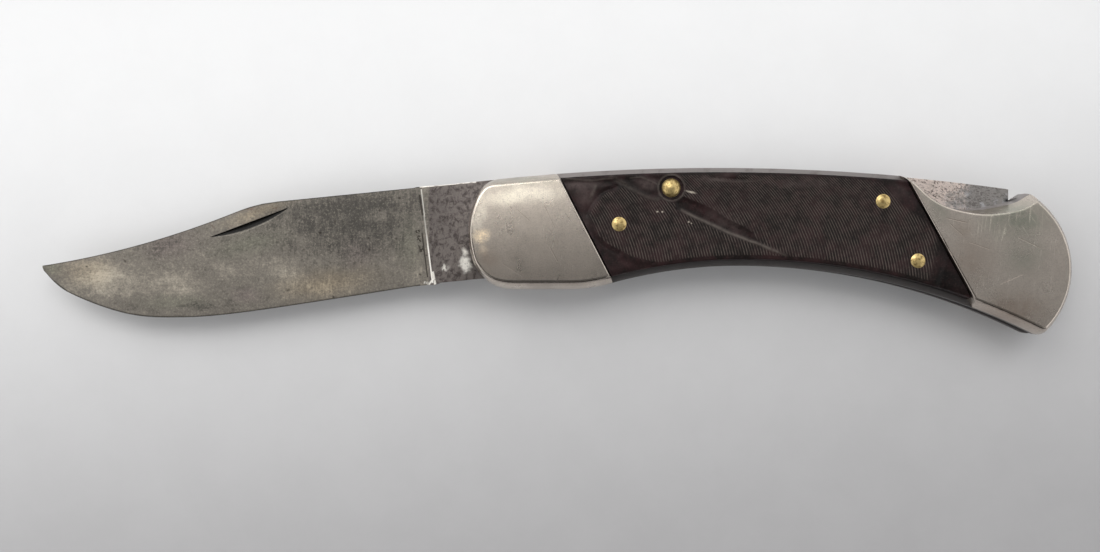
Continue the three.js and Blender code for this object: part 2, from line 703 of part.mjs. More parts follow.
function makeLockBar() {
  const front = NOTCH_WALL_X + TOOTH_GAP;
  const bite = { x: 0, y: 0, r: TANG_RADIUS + TOOTH_LIFT };
  const toothRear = front + TOOTH_LENGTH;
  const onBite = (x) => at(x, heightOn(bite, x));
  const slim = [];
  const slimEnd = BAR_TAIL_X - BAR_TAIL_CORNER;
  for (let i = 0; i <= 24; i += 1) {
    const x = THREE.MathUtils.lerp(BAR_SLIM_START, slimEnd, i / 24);
    slim.push(at(x, barUnderside(x)));
  }
  const tailTop = at(BAR_TAIL_X, backHeight(BAR_TAIL_X));
  const tailFoot = at(BAR_TAIL_X, BAR_HEEL_Y);
  const tailBend = new THREE.QuadraticBezierCurve(
    slim.at(-1),
    tailFoot,
    at(BAR_TAIL_X, BAR_HEEL_Y + BAR_TAIL_CORNER),
  );
  const ring = [
    ...arcBetween(backCircle, tailTop, at(front, backHeight(front)), 30),
    ...arcBetween(bite, onBite(front), onBite(toothRear), 4),
    at(toothRear + 0.5, BAR_ARCH_Y),
    at(BAR_ARCH_END, BAR_ARCH_Y),
    at(BAR_BELLY_START, BAR_BELLY_Y),
    at(BAR_BELLY_END, BAR_BELLY_Y),
    ...slim,
    ...tailBend.getPoints(6).slice(1),
  ];
  const blank = prism(ring, -bladeFace, bladeFace);
  return cut(blank, [throughHole(ROCKER_PIN_X, ROCKER_PIN_Y, ROCKER_PIN_RADIUS)]);
}

function leafTip() {
  return at(LEAF_TIP_X, barUnderside(LEAF_TIP_X) - LEAF_TIP_GAP - LEAF_THICKNESS / 2);
}

// Centre line of the leaf spring: straight in its slot, then bent up to the lock bar.
function leafLine() {
  const root = at(SPACER_NOSE_X, LEAF_Y);
  const bend = new THREE.QuadraticBezierCurve(root, at(LEAF_BEND_X, LEAF_Y), leafTip());
  return [at(LEAF_TAIL_X, LEAF_Y), ...bend.getPoints(8)];
}

function makeLeafSpring() {
  const line = leafLine();
  const [upper, lower] = [1, -1].map((side) =>
    line.map((p, i) => {
      const before = line[Math.max(i - 1, 0)];
      const after = line[Math.min(i + 1, line.length - 1)];
      const along = after.clone().sub(before).normalize();
      return p.clone().addScaledVector(at(along.y, -along.x), (side * LEAF_THICKNESS) / 2);
    }),
  );
  return prism([...upper, ...lower.reverse()], -LEAF_WIDTH / 2, LEAF_WIDTH / 2);
}

function makeButtSpacer() {
  const tipPath = { x: 0, y: 0, r: Math.hypot(TIP_REACH, TIP_DROP + TIP_BLUNT) + TIP_CLEARANCE };
  const lowerEdge = (x) => bellyHeight(x) + SPACER_RECESS;
  const noseFoot = at(SPACER_NOSE_X, SPACER_NOSE_TOP - SPACER_NOSE_DEPTH);
  const pocketTop = arc(tipPath, radians(TIP_POCKET_ANGLE), 0, 1)[0];
  let pocketFoot = pocketTop;
  const path = [];
  for (let angle = TIP_POCKET_ANGLE; pocketFoot.y > lowerEdge(pocketFoot.x); angle -= 0.5) {
    pocketFoot = arc(tipPath, radians(angle), 0, 1)[0];
    path.push(pocketFoot);
  }
  const reach = BUTT_CENTRE_X + BUTT_RADIUS + 5;
  const ring = [
    at(SPACER_FRONT_X, BACK_RISE),
    at(SPACER_FRONT_X, SPACER_NOSE_TOP),
    at(SPACER_NOSE_X, SPACER_NOSE_TOP),
    noseFoot,
    ...path,
    at(reach, lowerEdge(reach)),
    at(reach, BACK_RISE),
  ];
  const block = prism(ring, -linerInner, linerInner).intersect(prism(outline, -linerInner, linerInner));
  const slotHalf = LEAF_THICKNESS / 2 + LEAF_SLOT_CLEARANCE;
  const slotEnd = LEAF_TAIL_X + LEAF_SLOT_CLEARANCE;
  const slot = prism(
    [
      at(SPACER_NOSE_X - 1, LEAF_Y - slotHalf),
      at(slotEnd, LEAF_Y - slotHalf),
      at(slotEnd, LEAF_Y + slotHalf),
      at(SPACER_NOSE_X - 1, LEAF_Y + slotHalf),
    ],
    -linerInner - 1,
    linerInner + 1,
  );
  return cut(block, [scoop, slot, ...buttPins.map((p) => throughHole(p.x, p.y, BUTT_PIN_RADIUS))]);
}

const knife = new THREE.Group();
knife.name = "folding_knife";

const handle = new THREE.Group();
for (const { name, sign } of sides) {
  handle.add(toMesh(`${name}_liner`, makeLiner(sign), finishes.liner));
  handle.add(toMesh(`${name}_front_bolster`, makeFrontBolster(sign), finishes.bolster));
  handle.add(toMesh(`${name}_rear_bolster`, makeRearBolster(sign), finishes.bolster));
  handle.add(toMesh(`${name}_cover`, makeCover(sign), finishes.cover));
  for (const rivet of rivets) {
    handle.add(toMesh(`${name}_${rivet.name}`, makeRivet(rivet.x, rivet.y, sign), finishes.pin));
  }
}
handle.add(toMesh("butt_spacer", makeButtSpacer(), finishes.liner));
handle.add(toMesh("leaf_spring", makeLeafSpring(), finishes.liner));
handle.add(toMesh("rocker_pin", makeRockerPin(), finishes.pin));
const pivotPin = round(0, 0, PIVOT_PIN_RADIUS, -blindLevel, blindLevel);
handle.add(toMesh("pivot_pin", pivotPin, finishes.bolster));
for (const pin of buttPins) {
  const solid = round(pin.x, pin.y, BUTT_PIN_RADIUS, -blindLevel, blindLevel);
  handle.add(toMesh(pin.name, solid, finishes.bolster));
}

const blade = toMesh("blade", makeBlade(), finishes.blade);
const lockBar = toMesh("lock_bar", makeLockBar(), finishes.lockBar);
knife.add(handle, blade, lockBar);

// The origin is below the middle of the open knife, on the surface that it lies on.
const box = new THREE.Box3().setFromObject(knife);
const middle = box.getCenter(new THREE.Vector3());
knife.position.set(-middle.x, -middle.y, -box.min.z);

console.log("pivot at", knife.position.toArray().map((v) => v.toFixed(4)).join(" "));

export default knife;
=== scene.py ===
"""Folding hunting knife with a back lock, lying open on a pale table, seen from straight above.

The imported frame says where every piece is. This script gives each piece its fine shape and its finish, and
sets up the table, the light and the camera. Sizes of the knife are written in millimetres, and places on it
are measured from the blade's pivot, with +X towards the butt and +Y towards the back. The room's sizes, and
all that goes to Blender, are metres.
"""

import json
import logging
import math
from collections.abc import Callable, Iterable, Iterator, Mapping
from contextlib import contextmanager
from dataclasses import dataclass
from enum import Enum

import bpy
import numpy as np
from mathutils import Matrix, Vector


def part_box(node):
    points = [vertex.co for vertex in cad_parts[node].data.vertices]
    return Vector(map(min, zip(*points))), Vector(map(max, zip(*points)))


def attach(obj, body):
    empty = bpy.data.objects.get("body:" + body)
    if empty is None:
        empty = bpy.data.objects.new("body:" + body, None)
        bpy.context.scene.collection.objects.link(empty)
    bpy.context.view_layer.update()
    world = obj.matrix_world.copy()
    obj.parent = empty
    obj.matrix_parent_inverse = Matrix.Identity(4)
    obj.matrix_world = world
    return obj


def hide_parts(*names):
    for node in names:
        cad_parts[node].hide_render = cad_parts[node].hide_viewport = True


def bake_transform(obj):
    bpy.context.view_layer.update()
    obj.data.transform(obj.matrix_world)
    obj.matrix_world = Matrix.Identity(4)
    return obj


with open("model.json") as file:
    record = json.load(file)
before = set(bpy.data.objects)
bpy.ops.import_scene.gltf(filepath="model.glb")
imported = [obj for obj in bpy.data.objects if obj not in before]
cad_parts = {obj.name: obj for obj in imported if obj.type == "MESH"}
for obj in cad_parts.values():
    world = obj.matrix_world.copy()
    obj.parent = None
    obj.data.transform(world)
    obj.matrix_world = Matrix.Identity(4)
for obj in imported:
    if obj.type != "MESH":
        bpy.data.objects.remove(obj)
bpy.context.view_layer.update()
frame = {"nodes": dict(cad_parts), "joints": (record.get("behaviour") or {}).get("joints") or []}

log = logging.getLogger("knife")

MM = 0.001
SAME_PLACE = 0.000001  # Metres within which two corners are one
SAME_PLANE = math.radians(0.6)  # Bend below which two faces are one
PIVOT = Vector(next(j["pos_m"] for j in frame["joints"] if j["name"] == "blade_pivot"))

Colour = tuple[float, float, float]
Triple = tuple[float, float, float]
Point = tuple[float, float]
Stroke = tuple[Point, Point, float]
Material = bpy.types.Material
Piece = bpy.types.Object
Socket = bpy.types.NodeSocket


class Side(Enum):
    """The two faces of the knife."""

    MARK = 1
    PILE = -1

    @property
    def label(self) -> str:
        """Name of the side as the frame's nodes use it."""
        return self.name.lower()

    def level(self, z: float | np.ndarray) -> float | np.ndarray:
        """How far out a height of the scene lies on this side, in millimetres from the middle plane."""
        return self.value * (z - PIVOT.z) / MM

    def height(self, level: float) -> float:
        """Height in the scene of a level on this side."""
        return PIVOT.z + self.value * level * MM


class End(Enum):
    """The two ends of the handle, as the frame's nodes name them."""

    FRONT = "front"
    REAR = "rear"


class Tint(Enum):
    """Faint colours of the blade's stains, which multiply the patina's."""

    VIOLET = (1.0, 0.95, 1.0)
    GREEN = (0.94, 1.0, 0.94)
    TAN = (1.06, 0.99, 0.88)


@dataclass(frozen=True)
class Zone:
    """A soft oval place of a finish: its middle, half length and half width, its strength and its turn."""

    place: Point
    size: Point
    amount: float = 1.0
    turn: float = 0.0


# Node graphs


class Nodes:
    """A node tree, and the few steps by which it grows."""

    def __init__(self, tree: bpy.types.NodeTree) -> None:
        """Takes the tree."""
        self.tree = tree

    def link(self, value: object, socket: Socket) -> None:
        """Feeds a socket with a number, a colour or another node's output.

        Args:
            value: What the socket gets.
            socket: The socket.
        """
        if isinstance(value, Socket):
            self.tree.links.new(value, socket)
        elif socket.type == "RGBA":
            socket.default_value = (*value, 1.0)
        else:
            socket.default_value = value

    def add(
        self, kind: str, inputs: Mapping[str | int, object] | None = None, **options: object
    ) -> bpy.types.Node:
        """Adds a node.

        Args:
            kind: Its type, without the word ShaderNode.
            inputs: What its inputs get, each by its name or its number.
            options: Its options.

        Returns:
            The node.
        """
        node = self.tree.nodes.new(f"ShaderNode{kind}")
        for name, value in options.items():
            setattr(node, name, value)
        for name, value in (inputs or {}).items():
            self.link(value, node.inputs[name])
        return node

    def parts(self, at: Socket) -> Mapping[str, Socket]:
        """The X, Y and Z of coordinates."""
        return self.add("SeparateXYZ", {"Vector": at}).outputs

    def span(self, value: object, low: float, high: float, to: tuple[object, object] = (0.0, 1.0)) -> Socket:
        """Maps the span from low to high to another, clamped and smooth."""
        inputs = {"Value": value, "From Min": low, "From Max": high, "To Min": to[0], "To Max": to[1]}
        return self.add("MapRange", inputs, interpolation_type="SMOOTHSTEP").outputs[0]


class Graph(Nodes):
    """A material's nodes, with one short method for each kind that the finishes use."""

    MIX_FIRST, MIX_SECOND, MIX_RESULT = 6, 7, 2  # Numbers of a Mix node's colour sockets
    CORE = 0.2  # Share of a line's half width that is solid
    FLAT = 1e6  # Scale that takes the height out

    def __init__(self, name: str) -> None:
        """Starts a material with a Principled shader.

        Args:
            name: Name of the material.
        """
        self.material = bpy.data.materials.new(name)
        self.material.use_nodes = True
        super().__init__(self.material.node_tree)
        self.tree.nodes.clear()
        self.shader = self.add("BsdfPrincipled")
        self.add("OutputMaterial", {"Surface": self.shader.outputs[0]})
        self.place = self.add("TexCoord").outputs["Object"]

    def set(self, name: str, value: object) -> None:
        """Sets an input of the shader to a number, a colour or an output."""
        self.link(value, self.shader.inputs[name])

    def stretched(self, scale: Triple, turn: float = 0.0) -> Socket:
        """Object coordinates, turned about Z by degrees and then scaled along each axis."""
        turned = self.add("Mapping", {"Rotation": (0, 0, math.radians(turn)), "Vector": self.place})
        return self.add("Mapping", {"Scale": scale, "Vector": turned.outputs[0]}).outputs[0]

    def noise(
        self, size: float, detail: float, rough: float, at: Socket | None = None, twist: float = 0.0
    ) -> Socket:
        """Cloudy noise by its spots per metre, layers of finer noise, their strength, and its distortion."""
        inputs = {"Scale": size, "Detail": detail, "Roughness": rough, "Distortion": twist}
        return self.add("TexNoise", inputs | {"Vector": at or self.place}).outputs["Fac"]

    def cells(self, size: float) -> Socket:
        """Distance to the nearest of scattered points, of which so many lie in a metre."""
        return self.add("TexVoronoi", {"Scale": size, "Vector": self.place}).outputs["Distance"]

    def math(self, kind: str, a: object, b: object = 0.0, c: object = 0.0) -> Socket:
        """The result of a math node."""
        return self.add("Math", {0: a, 1: b, 2: c}, operation=kind).outputs[0]

    def times(self, a: object, b: object) -> Socket:
        """The product of two values."""
        return self.math("MULTIPLY", a, b)

    def mix(self, share: object, a: object, b: object, kind: str = "MIX") -> Socket:
        """A colour with a share of a second one, mixed or blended in another way."""
        inputs = {"Factor": share, self.MIX_FIRST: a, self.MIX_SECOND: b}
        return self.add("Mix", inputs, data_type="RGBA", blend_type=kind).outputs[self.MIX_RESULT]

    def axis(self, name: str) -> Socket:
        """The object coordinate X, Y or Z, in metres."""
        return self.parts(self.place)[name]

    def along(
        self, name: str, ends: Point, to: Point = (0.0, 1.0), value: Socket | None = None
    ) -> Socket:
        """Maps a span of X or Y, in millimetres from the pivot; a value in metres can replace the place."""
        low, high = (PIVOT["XYZ".index(name)] + end * MM for end in ends)
        return self.span(value or self.axis(name), low, high, to)

    def attribute(self, name: str) -> Socket:
        """A value that the piece's mesh carries."""
        return self.add("Attribute", attribute_name=name).outputs["Fac"]

    def local(self, warp: float = 0.0, size: float = 150.0) -> Socket:
        """Coordinates in millimetres from the blade's pivot, with a cloudy distortion if wanted.

        Args:
            warp: How far places stray, in millimetres.
            size: Number of the distortion's spots per metre.

        Returns:
            The coordinates.
        """
        start = PIVOT + Vector((warp, warp, 0.0)) * MM / 2
        inputs = {"Location": start, "Scale": (MM, MM, MM), "Vector": self.place}
        exact = self.add("Mapping", inputs, vector_type="TEXTURE").outputs[0]
        if not warp:
            return exact
        stray = self.add("TexNoise", {"Scale": size, "Detail": 3.0, "Vector": self.place})
        inputs = {0: stray.outputs["Color"], 1: (warp, warp, 0.0), 2: exact}
        return self.add("VectorMath", inputs, operation="MULTIPLY_ADD").outputs[0]

    def around(self, at: Socket, place: Point, size: Point, turn: float) -> Socket:
        """Coordinates from a place, turned by radians and measured in a half length and a half width."""
        inputs = {"Location": (*place, 0.0), "Rotation": (0, 0, turn), "Scale": (*size, self.FLAT)}
        return self.add("Mapping", inputs | {"Vector": at}, vector_type="TEXTURE").outputs[0]

    def spot(self, at: Socket, zone: Zone) -> Socket:
        """A soft oval spot, 1 in its middle and 0 from its rim.

        Args:
            at: Coordinates in millimetres.
            zone: Its place, size and turn.

        Returns:
            The spot.
        """
        inside = self.around(at, zone.place, zone.size, math.radians(zone.turn))
        length = self.add("VectorMath", {0: inside}, operation="LENGTH").outputs["Value"]
        return self.span(length, 1.0, 0.0)

    def zone(self, at: Socket, zone: Zone) -> Socket:
        """A soft oval spot, as strong in its middle as the zone's amount."""
        return self.times(self.spot(at, zone), zone.amount)

    def stroke(self, at: Socket, start: Point, end: Point, width: float) -> Socket:
        """A straight soft stroke.

        Args:
            at: Coordinates in millimetres.
            start: Its first end.
            end: Its second end.
            width: Its half width.

        Returns:
            The stroke, 1 in its middle and 0 beside it.
        """
        dx, dy = end[0] - start[0], end[1] - start[1]
        middle = ((start[0] + end[0]) / 2, (start[1] + end[1]) / 2)
        parts = self.parts(self.around(at, middle, (math.hypot(dx, dy) / 2, width), math.atan2(dy, dx)))
        beside = self.span(self.math("ABSOLUTE", parts["Y"]), 1.0, self.CORE)
        within = self.math("LESS_THAN", self.math("ABSOLUTE", parts["X"]), 1.0)
        return self.times(beside, within)

    def peak(self, values: Iterable[object]) -> Socket:
        """The greatest of several values, none of them below 0.

        Args:
            values: Numbers or outputs.

        Returns:
            The greatest.
        """
        result = 0.0
        for value in values:
            result = self.math("MAXIMUM", result, value)
        return result

    def trail(self, at: Socket, points: tuple[Point, ...], width: float) -> Socket:
        """A soft line through several points that lie in order along X.

        Args:
            at: Coordinates in millimetres.
            points: The points.
            width: Its half height.

        Returns:
            The line, 1 in its middle and 0 beside it.
        """
        parts = self.parts(at)
        first, last = points[0][0], points[-1][0]
        low = min(y for _, y in points) - 1.0
        tall = max(y for _, y in points) + 1.0 - low
        along = self.math("DIVIDE", self.math("SUBTRACT", parts["X"], first), last - first)
        curve = self.add("FloatCurve", {"Value": along})
        line = curve.mapping.curves[0]
        while len(line.points) < len(points):
            line.points.new(0.5, 0.5)
        for mark, (x, y) in zip(line.points, points):
            mark.location = ((x - first) / (last - first), (y - low) / tall)
            mark.handle_type = "VECTOR"
        curve.mapping.update()
        level = self.math("MULTIPLY_ADD", curve.outputs[0], tall, low)
        off = self.math("ABSOLUTE", self.math("SUBTRACT", parts["Y"], level))
        beside = self.span(off, width, self.CORE * width)
        from_middle = self.math("ABSOLUTE", self.math("SUBTRACT", along, 0.5))
        return self.times(beside, self.math("LESS_THAN", from_middle, 0.5))

    def relief(self, *layers: tuple[object, float]) -> None:
        """Adds bump layers, one on the other, and feeds them to the shader's normal.

        Args:
            layers: Pairs of a height from 0 to 1 and the height's depth in metres.
        """
        below = {}
        for height, depth in layers:
            bump = self.add("Bump", {"Strength": 1.0, "Distance": depth, "Height": height} | below)
            below = {"Normal": bump.outputs[0]}
        self.set("Normal", below["Normal"])


# Finishes


@dataclass(frozen=True)
class BladePatina:
    """Old carbon steel: mottled grey, beige and brown, with dark specks, worn edges, painted dark lines
    along the back and the cutting edge, a painted highlight on the ricasso, and a nick darkened by grime and
    painted shade.
    """

    pale: Colour = (0.56, 0.505, 0.415)
    middle: Colour = (0.215, 0.195, 0.168)
    dark: Colour = (0.072, 0.067, 0.060)
    speck: Colour = (0.03, 0.024, 0.02)
    rust: Colour = (0.16, 0.075, 0.05)
    ricasso: Colour = (0.135, 0.116, 0.112)
    ricasso_rust: Colour = (0.042, 0.032, 0.031)
    light_rust: Colour = (0.24, 0.2, 0.185)
    # Painted dark reflection and shade along the back and the cutting edge.
    rim: Colour = (0.045, 0.042, 0.038)
    # Bright steel, for the worn lines and for the painted highlight on the ricasso.
    worn: Colour = (0.95, 0.92, 0.85)
    # Grime and painted shade in the nail nick.
    grime_and_shade: Colour = (0.005, 0.0045, 0.004)
    tones: tuple[Zone, ...] = (
        Zone((-91.5, -9.6), (13.5, 7.4), 0.36, -6), Zone((-91.4, -9.4), (4.0, 2.0), 0.16, 10),
        Zone((-37.0, 2.6), (30.0, 12.5), -0.36, 8), Zone((-103.4, -7.2), (3.2, 3.0), -0.10),
        Zone((-77.0, -1.8), (10.0, 4.6), -0.17, 14), Zone((-63.0, -1.2), (13.0, 4.0), -0.10, 14),
        Zone((-60.0, 3.9), (12.0, 2.6), 0.14, 22), Zone((-76.0, -10.8), (9.5, 4.6), 0.26),
        Zone((-62.0, -7.2), (9.0, 3.4), 0.14), Zone((-52.5, -7.4), (5.5, 5.0), 0.30),
        Zone((-45.0, -11.0), (15.0, 3.8), 0.20, 9), Zone((-86.0, -14.8), (10.0, 2.2), -0.12, -14),
        Zone((-70.0, -15.6), (14.0, 2.0), -0.16, 3), Zone((-44.0, 5.6), (20.0, 3.6), -0.12, 8),
        Zone((-31.5, 3.8), (7.0, 2.4), 0.16, 8), Zone((-25.0, -9.0), (5.0, 4.0), 0.14),
        Zone((-24.6, 0.0), (2.4, 9.0), 0.12, -6), Zone((-25.0, 7.6), (2.0, 2.2), -0.14),
    )
    tints: tuple[tuple[Tint, Zone], ...] = (
        (Tint.VIOLET, Zone((-77.0, -2.2), (9.0, 4.6), 1.0, 14)),
        (Tint.VIOLET, Zone((-61.0, -13.0), (5.0, 2.4), 0.9)),
        (Tint.VIOLET, Zone((-37.0, -4.2), (6.0, 5.0), 0.8)),
        (Tint.GREEN, Zone((-102.6, -6.8), (4.0, 3.0), 1.0)),
        (Tint.GREEN, Zone((-60.0, -2.2), (12.0, 3.6), 0.9, 12)),
        (Tint.GREEN, Zone((-26.0, -2.0), (4.0, 9.0), 0.7)),
        (Tint.GREEN, Zone((-76.0, -14.5), (12.0, 2.5), 0.7)),
        (Tint.TAN, Zone((-44.0, -10.5), (16.0, 5.0), 1.0, 8)),
        (Tint.TAN, Zone((-58.0, 4.6), (12.0, 2.4), 0.9, 22)),
        (Tint.TAN, Zone((-95.0, -7.6), (9.0, 5.0), 0.6)),
    )
    spots: tuple[Zone, ...] = (
        Zone((-45.1, 0.2), (0.55, 0.5), 1.0), Zone((-34.7, -3.3), (0.5, 0.45), 0.9),
        Zone((-48.6, -3.2), (0.4, 0.35), 0.6), Zone((-41.8, 2.6), (0.35, 0.8), 0.7, -20),
        Zone((-28.9, -0.9), (0.5, 0.35), 0.7), Zone((-86.4, -5.8), (0.5, 0.9), 0.8, 30),
        Zone((-52.0, -12.0), (0.8, 0.5), 0.6), Zone((-94.6, -6.9), (0.4, 0.4), 0.8),
        Zone((-23.9, -8.6), (0.4, 0.4), 0.9),
    )
    reddish: Zone = Zone((-60.0, 4.2), (14.0, 3.0), 0.6, 22)
    bloom: Zone = Zone((-12.6, 5.2), (2.6, 2.6), 0.6)
    # Painted highlight: bright spots on the ricasso, in the worn lines' colour.
    shine: Zone = Zone((-14.3, -6.5), (1.7, 2.4), 1.9, 14)
    shine_above: Zone = Zone((-14.4, -3.9), (0.8, 1.3), 0.8, 10)
    shine_left: Zone = Zone((-18.6, -7.2), (1.1, 1.2), 0.7, -20)
    dark_lines: tuple[Stroke, ...] = (
        ((-23.95, 8.2), (-23.35, 3.9), 0.30), ((-23.5, 0.2), (-22.4, -9.2), 0.24),
    )
    pocked: Stroke = ((-24.5, 0.8), (-23.5, -3.8), 0.9)
    plunge: Stroke = ((-23.0, 3.9), (-21.25, -10.4), 0.24)
    plunge_top: Stroke = ((-23.6, 9.4), (-22.9, 3.6), 0.2)
    plunge_foot: tuple[Stroke, ...] = (
        ((-22.3, -10.9), (-20.9, -9.4), 0.36), ((-21.2, -8.0), (-20.6, -11.0), 0.4),
        ((-23.2, -10.3), (-22.2, -10.5), 0.4),
    )
    dark_back_end: float = -23.0
    bright_back_start: float = -25.0
    brush_span: Point = (-66.0, -46.0)
    ricasso_span: Point = (-22.4, -21.6)
    plunge_span: Point = (1.5, -4.0)

    def mottling(self, g: Graph) -> Socket:
        """Fine mottling, with upright brush strokes on the right half and streaks along the left half.

        Args:
            g: The node graph.

        Returns:
            The tone to add, about 0 in the middle.
        """
        right = g.along("X", self.brush_span)
        left = g.math("SUBTRACT", 1.0, right)
        upright = g.noise(1, 4, 0.7, g.stretched((2100.0, 300.0, 2100.0), 3))
        along = g.noise(1, 4, 0.7, g.stretched((330.0, 1100.0, 1100.0), -4))
        layers = (
            (g.noise(300, 3, 0.6), 0.45), (g.noise(900, 4, 0.72, twist=0.3), 0.62),
            (g.noise(3000, 2, 0.6), 0.45),
        )
        total = 0.0
        for layer, share in layers:
            total = g.math("MULTIPLY_ADD", g.math("SUBTRACT", layer, 0.5), share, total)
        total = g.math("MULTIPLY_ADD", g.times(right, g.math("SUBTRACT", upright, 0.5)), 0.6, total)
        return g.math("MULTIPLY_ADD", g.times(left, g.math("SUBTRACT", along, 0.5)), 0.55, total)

    def make(self, spine: tuple[Point, ...], edge: tuple[Point, ...]) -> Material:
        """Builds the material.

        Args:
            spine: Points of the blade's back, in millimetres from the pivot.
            edge: Points of its cutting edge.

        Returns:
            The material.
        """
        g = Graph("blade_patina")
        at = g.local(2.4, 260.0)
        exact = g.local()
        mottling = self.mottling(g)
        tone = g.math("ADD", mottling, 0.45)
        for zone in self.tones:
            tone = g.math("MULTIPLY_ADD", g.spot(at, zone), zone.amount, tone)
        colour = g.mix(g.span(tone, 0.0, 0.5), self.dark, self.middle)
        colour = g.mix(g.span(tone, 0.45, 1.1), colour, self.pale)
        grains = g.noise(2300, 4, 0.75)
        colour = g.mix(g.span(grains, 0.5, 0.72, (0.0, 0.40)), colour, self.dark)
        colour = g.mix(g.span(grains, 0.5, 0.3, (0.0, 0.28)), colour, self.pale)
        for tint, zone in self.tints:
            colour = g.mix(g.zone(at, zone), colour, tint.value, "MULTIPLY")
        specks = g.span(g.noise(1500, 3, 0.6), 0.64, 0.72)
        dots = g.times(g.span(g.cells(300), 0.11, 0.05), g.span(g.noise(210, 1, 0.5), 0.5, 0.58))
        colour = g.mix(g.times(specks, 0.45), colour, self.speck)
        colour = g.mix(g.times(dots, 0.75), colour, self.speck)
        reddish = g.times(g.span(g.noise(620, 3, 0.6), 0.6, 0.7), g.spot(at, self.reddish))
        colour = g.mix(g.times(reddish, self.reddish.amount), colour, self.rust)
        strayed = g.local(0.7, 900.0)
        for zone in self.spots:
            colour = g.mix(g.zone(strayed, zone), colour, self.speck)
        colour, worn = self.handling_marks(g, exact, colour, spine, edge)
        g.set("Base Color", colour)
        g.set("Metallic", 0.5)
        rough = g.math("MULTIPLY_ADD", worn, -0.2, g.span(mottling, -0.2, 0.2, (0.46, 0.58)))
        g.set("Roughness", g.math("MAXIMUM", rough, g.times(g.attribute("grime_and_shade"), 0.9)))
        g.relief((mottling, 0.000045), (g.peak((specks, dots)), -0.00003))
        return g.material

    def handling_marks(
        self, g: Graph, at: Socket, colour: Socket, spine: tuple[Point, ...], edge: tuple[Point, ...]
    ) -> tuple[Socket, Socket]:
        """Adds bright worn lines, dark lines beside them, the ricasso's rust, a painted highlight on the
        ricasso, painted dark lines along the back and the cutting edge, and the nick's grime and painted
        shade.

        Args:
            g: The node graph.
            at: Exact coordinates in millimetres.
            colour: The patina's colour.
            spine: Points of the blade's back.
            edge: Points of its cutting edge.

        Returns:
            The colour with the marks, and the bright marks: worn metal together with the painted highlight.
        """
        blots = g.noise(900, 5, 0.7, twist=0.3)
        fine = g.span(g.noise(1700, 3, 0.65), 0.38, 0.52)
        rows = g.noise(1, 3, 0.7, g.stretched((1500.0, 420.0, 1500.0), 10))
        ricasso = g.along("X", self.ricasso_span)
        colour = g.mix(g.times(ricasso, 0.75), colour, self.ricasso)
        rust = g.times(g.peak((g.span(blots, 0.46, 0.62), g.span(rows, 0.52, 0.68))), ricasso)
        colour = g.mix(g.times(rust, 0.85), colour, self.ricasso_rust)
        bloom = g.times(g.spot(at, self.bloom), g.span(blots, 0.5, 0.4))
        colour = g.mix(g.times(bloom, self.bloom.amount), colour, self.light_rust)
        dark_back = tuple(p for p in spine if p[0] < self.dark_back_end)
        bright_back = tuple(p for p in spine if p[0] > self.bright_back_start)
        flank = g.attribute("flank")
        # Painted dark reflection and shade: dark lines along the back and the cutting edge stand in for
        # small rounded edges that mirror the dark near side of the room.
        rims = g.times(g.peak((g.trail(at, dark_back, 0.30), g.trail(at, edge, 0.42))), flank)
        colour = g.mix(g.times(rims, 0.8), colour, self.rim)
        lines = g.peak([g.stroke(at, *line) for line in self.dark_lines])
        pocks = g.times(g.stroke(at, *self.pocked), g.span(g.noise(1300, 3, 0.6), 0.5, 0.56))
        colour = g.mix(g.times(g.peak((lines, pocks)), 0.9), colour, self.speck)
        low = g.along("Y", self.plunge_span, (0.32, 1.0))
        plunge = g.stroke(at, *self.plunge)
        plunge = g.times(plunge, g.times(low, g.span(blots, 0.3, 0.45, (0.7, 1.0))))
        top = g.times(g.stroke(at, *self.plunge_top), 0.5)
        foot = g.peak([g.stroke(at, *line) for line in self.plunge_foot])
        foot = g.times(foot, g.span(blots, 0.42, 0.54, (0.12, 0.85)))
        # Painted highlight on the ricasso, mixed in with the worn lines.
        shine = g.zone(g.local(2.2, 700.0), self.shine)
        strayed = g.local(1.3, 1100.0)
        above = g.zone(strayed, self.shine_above)
        beside = g.times(g.spot(strayed, self.shine_left), g.times(fine, self.shine_left.amount))
        back = g.trail(at, bright_back, 0.26)
        back = g.times(back, g.span(blots, 0.36, 0.5, (0.25, 0.85)))
        worn = g.times(g.peak((plunge, top, foot, shine, above, beside, back)), flank)
        worn = g.math("MINIMUM", worn, 1.0)
        colour = g.mix(worn, colour, self.worn)
        # The nick gets grime and painted shade, darkest in the deep corner under its upper side.
        return g.mix(g.span(g.attribute("grime_and_shade"), 0.02, 0.34), colour, self.grime_and_shade), worn


